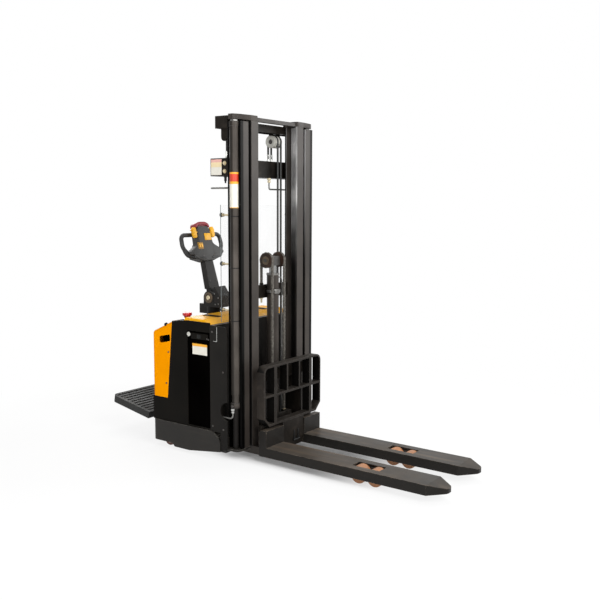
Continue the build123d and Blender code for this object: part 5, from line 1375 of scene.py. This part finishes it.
class STACKER_OT_stage(bpy.types.Operator):
    """White floor, soft light and the camera"""
    bl_idname = "stacker.stage"
    bl_label = "Stage"
    floor_radius = 40.0
    # Distances over which the floor turns plain, and the least share of plain white near the truck
    fade, least_plain = (0.7, 2.8), 0.84
    # Levels of the gap between the forks, across and along, and how much of its shadow stays
    gap_across, gap_tips, gap_heels = (0.36, 0.24), (FRONT + 1.0, FRONT + 0.35), (FRONT - 0.4, FRONT - 0.1)
    gap_shadow = 0.85
    world_light = 0.34
    # Name, place, point aimed at, watts, width and height
    lamps = (
        ("key_light", (4.3, -1.9, 3.3), (0, 0, 0.9), 190.0, 2.4, 2.4),
        ("rear_light", (3.2, 4.4, 2.7), (0, 0, 1.5), 105.0, 2.0, 2.2),
        ("strip_light", (1.7, -5.0, 1.75), (-0.3, 0, 1.1), 76.0, 0.6, 3.0),
        ("back_light", (-4.4, 2.4, 2.7), (-0.3, 0, 0.9), 80.0, 2.4, 2.4),
        ("top_light", (-0.6, 0.8, 5.2), (-0.2, 0, 0), 60.0, 2.6, 2.6),
    )
    # The camera's place in millimetres, its angles in degrees and its lens
    camera_place = (3041, -3956, 1568)
    camera_turn, camera_dip, camera_roll, camera_lens = 35.99, 6.82, 0.21, 47.82

    def floor_finish(self):
        """White that fades to plain background away from the truck, and keeps the truck's shadow near it."""
        material, tree, shader = new_finish("Floor")
        shader["Base Color"].default_value = (0.98, 0.98, 0.98, 1.0)
        shader["Roughness"].default_value = 0.9
        shader["Specular IOR Level"].default_value = 0.0
        place = place_of(tree)
        distance = add_node(tree, "ShaderNodeVectorMath", operation="LENGTH")
        join(place, distance.inputs[0])
        plain = maths("MAXIMUM", cut(distance.outputs["Value"], *self.fade), self.least_plain)
        # The deep shadow between the forks stays
        x, y, _ = split(place)
        inside = cut(maths("ABSOLUTE", y), *self.gap_across)
        between = times(inside, cut(x, *self.gap_tips), cut(x, *self.gap_heels))
        plain = times(plain, less(1.0, times(between, self.gap_shadow)))
        mix = add_node(tree, "ShaderNodeMixShader")
        join(times(plain, seen_rays(tree)), mix.inputs["Fac"])
        join(tree.nodes["Principled BSDF"].outputs["BSDF"], mix.inputs[1])
        join(add_node(tree, "ShaderNodeEmission").outputs["Emission"], mix.inputs[2])
        join(mix.outputs["Shader"], tree.nodes["Material Output"].inputs["Surface"])
        return material

    def add_floor(self, scene):
        mesh = bmesh.new()
        bmesh.ops.create_circle(mesh, cap_ends=True, segments=64, radius=self.floor_radius)
        data = bpy.data.meshes.new("floor")
        mesh.to_mesh(data)
        mesh.free()
        data.materials.append(self.floor_finish())
        floor = bpy.data.objects.new("floor", data)
        scene.collection.objects.link(floor)

    def add_world(self, scene):
        """A white background that lights the truck more softly than it shows."""
        scene.world = bpy.data.worlds.new("Studio")
        scene.world.use_nodes = True
        tree = scene.world.node_tree
        back = tree.nodes["Background"].inputs
        back["Color"].default_value = (1.0, 1.0, 1.0, 1.0)
        join(scaled(seen_rays(tree), self.world_light, 1.0), back["Strength"])

    def add_lamps(self, scene):
        for name, place, target, power, width, height in self.lamps:
            lamp = bpy.data.lights.new(name, "AREA")
            lamp.shape = "RECTANGLE"
            lamp.energy = power
            lamp.size = width
            lamp.size_y = height
            light = bpy.data.objects.new(name, lamp)
            light.location = place
            light.rotation_euler = (Vector(target) - Vector(place)).to_track_quat("-Z", "Y").to_euler()
            scene.collection.objects.link(light)

    def add_camera(self, scene):
        lens = bpy.data.cameras.new("camera")
        lens.sensor_width = 36.0
        lens.lens = self.camera_lens
        lens.clip_end = 200.0
        camera = bpy.data.objects.new("camera", lens)
        turns = ((self.camera_turn, "Z"), (90 - self.camera_dip, "X"), (self.camera_roll, "Z"))
        camera.matrix_world = Matrix.Translation(spot(*self.camera_place))
        for angle, axis in turns:
            camera.matrix_world = camera.matrix_world @ Matrix.Rotation(radians(angle), 4, axis)
        scene.collection.objects.link(camera)
        scene.camera = camera

    def execute(self, context):
        scene = context.scene
        self.add_floor(scene)
        self.add_world(scene)
        self.add_lamps(scene)
        self.add_camera(scene)
        scene.view_settings.view_transform = "Standard"
        return {"FINISHED"}


# The add-on

class STACKER_PT_panel(bpy.types.Panel):
    """Sidebar panel with the sizes, the colours and each piece's operator"""
    bl_idname = "STACKER_PT_panel"
    bl_label = "Electric stacker"
    bl_space_type = "VIEW_3D"
    bl_region_type = "UI"
    bl_category = "Stacker"

    def draw(self, context):
        for group in (context.scene.stacker_sizes, context.scene.stacker_colours):
            box = self.layout.box()
            for name in group.__annotations__:
                box.prop(group, name)
        for operator in OPERATORS:
            self.layout.operator(operator.bl_idname)


OPERATORS = (
    STACKER_OT_finishes, STACKER_OT_soft_edges, STACKER_OT_chains, STACKER_OT_hoses, STACKER_OT_cylinder_trim,
    STACKER_OT_mast_trim, STACKER_OT_body_trim, STACKER_OT_tiller_trim, STACKER_OT_wheel_trim,
    STACKER_OT_carriage_trim, STACKER_OT_stage,
)
CLASSES = (StackerSizes, StackerColours, *OPERATORS, STACKER_PT_panel)


def register():
    for item in CLASSES:
        bpy.utils.register_class(item)
    bpy.types.Scene.stacker_sizes = PointerProperty(type=StackerSizes)
    bpy.types.Scene.stacker_colours = PointerProperty(type=StackerColours)


def unregister():
    del bpy.types.Scene.stacker_colours
    del bpy.types.Scene.stacker_sizes
    for item in reversed(CLASSES):
        bpy.utils.unregister_class(item)


def main():
    register()
    bpy.ops.stacker.finishes()
    bpy.ops.stacker.soft_edges()
    bpy.ops.stacker.chains()
    bpy.ops.stacker.hoses()
    bpy.ops.stacker.cylinder_trim()
    bpy.ops.stacker.mast_trim()
    bpy.ops.stacker.body_trim()
    bpy.ops.stacker.tiller_trim()
    bpy.ops.stacker.wheel_trim()
    bpy.ops.stacker.carriage_trim()
    bpy.ops.stacker.stage()


if __name__ == "__main__":
    main()
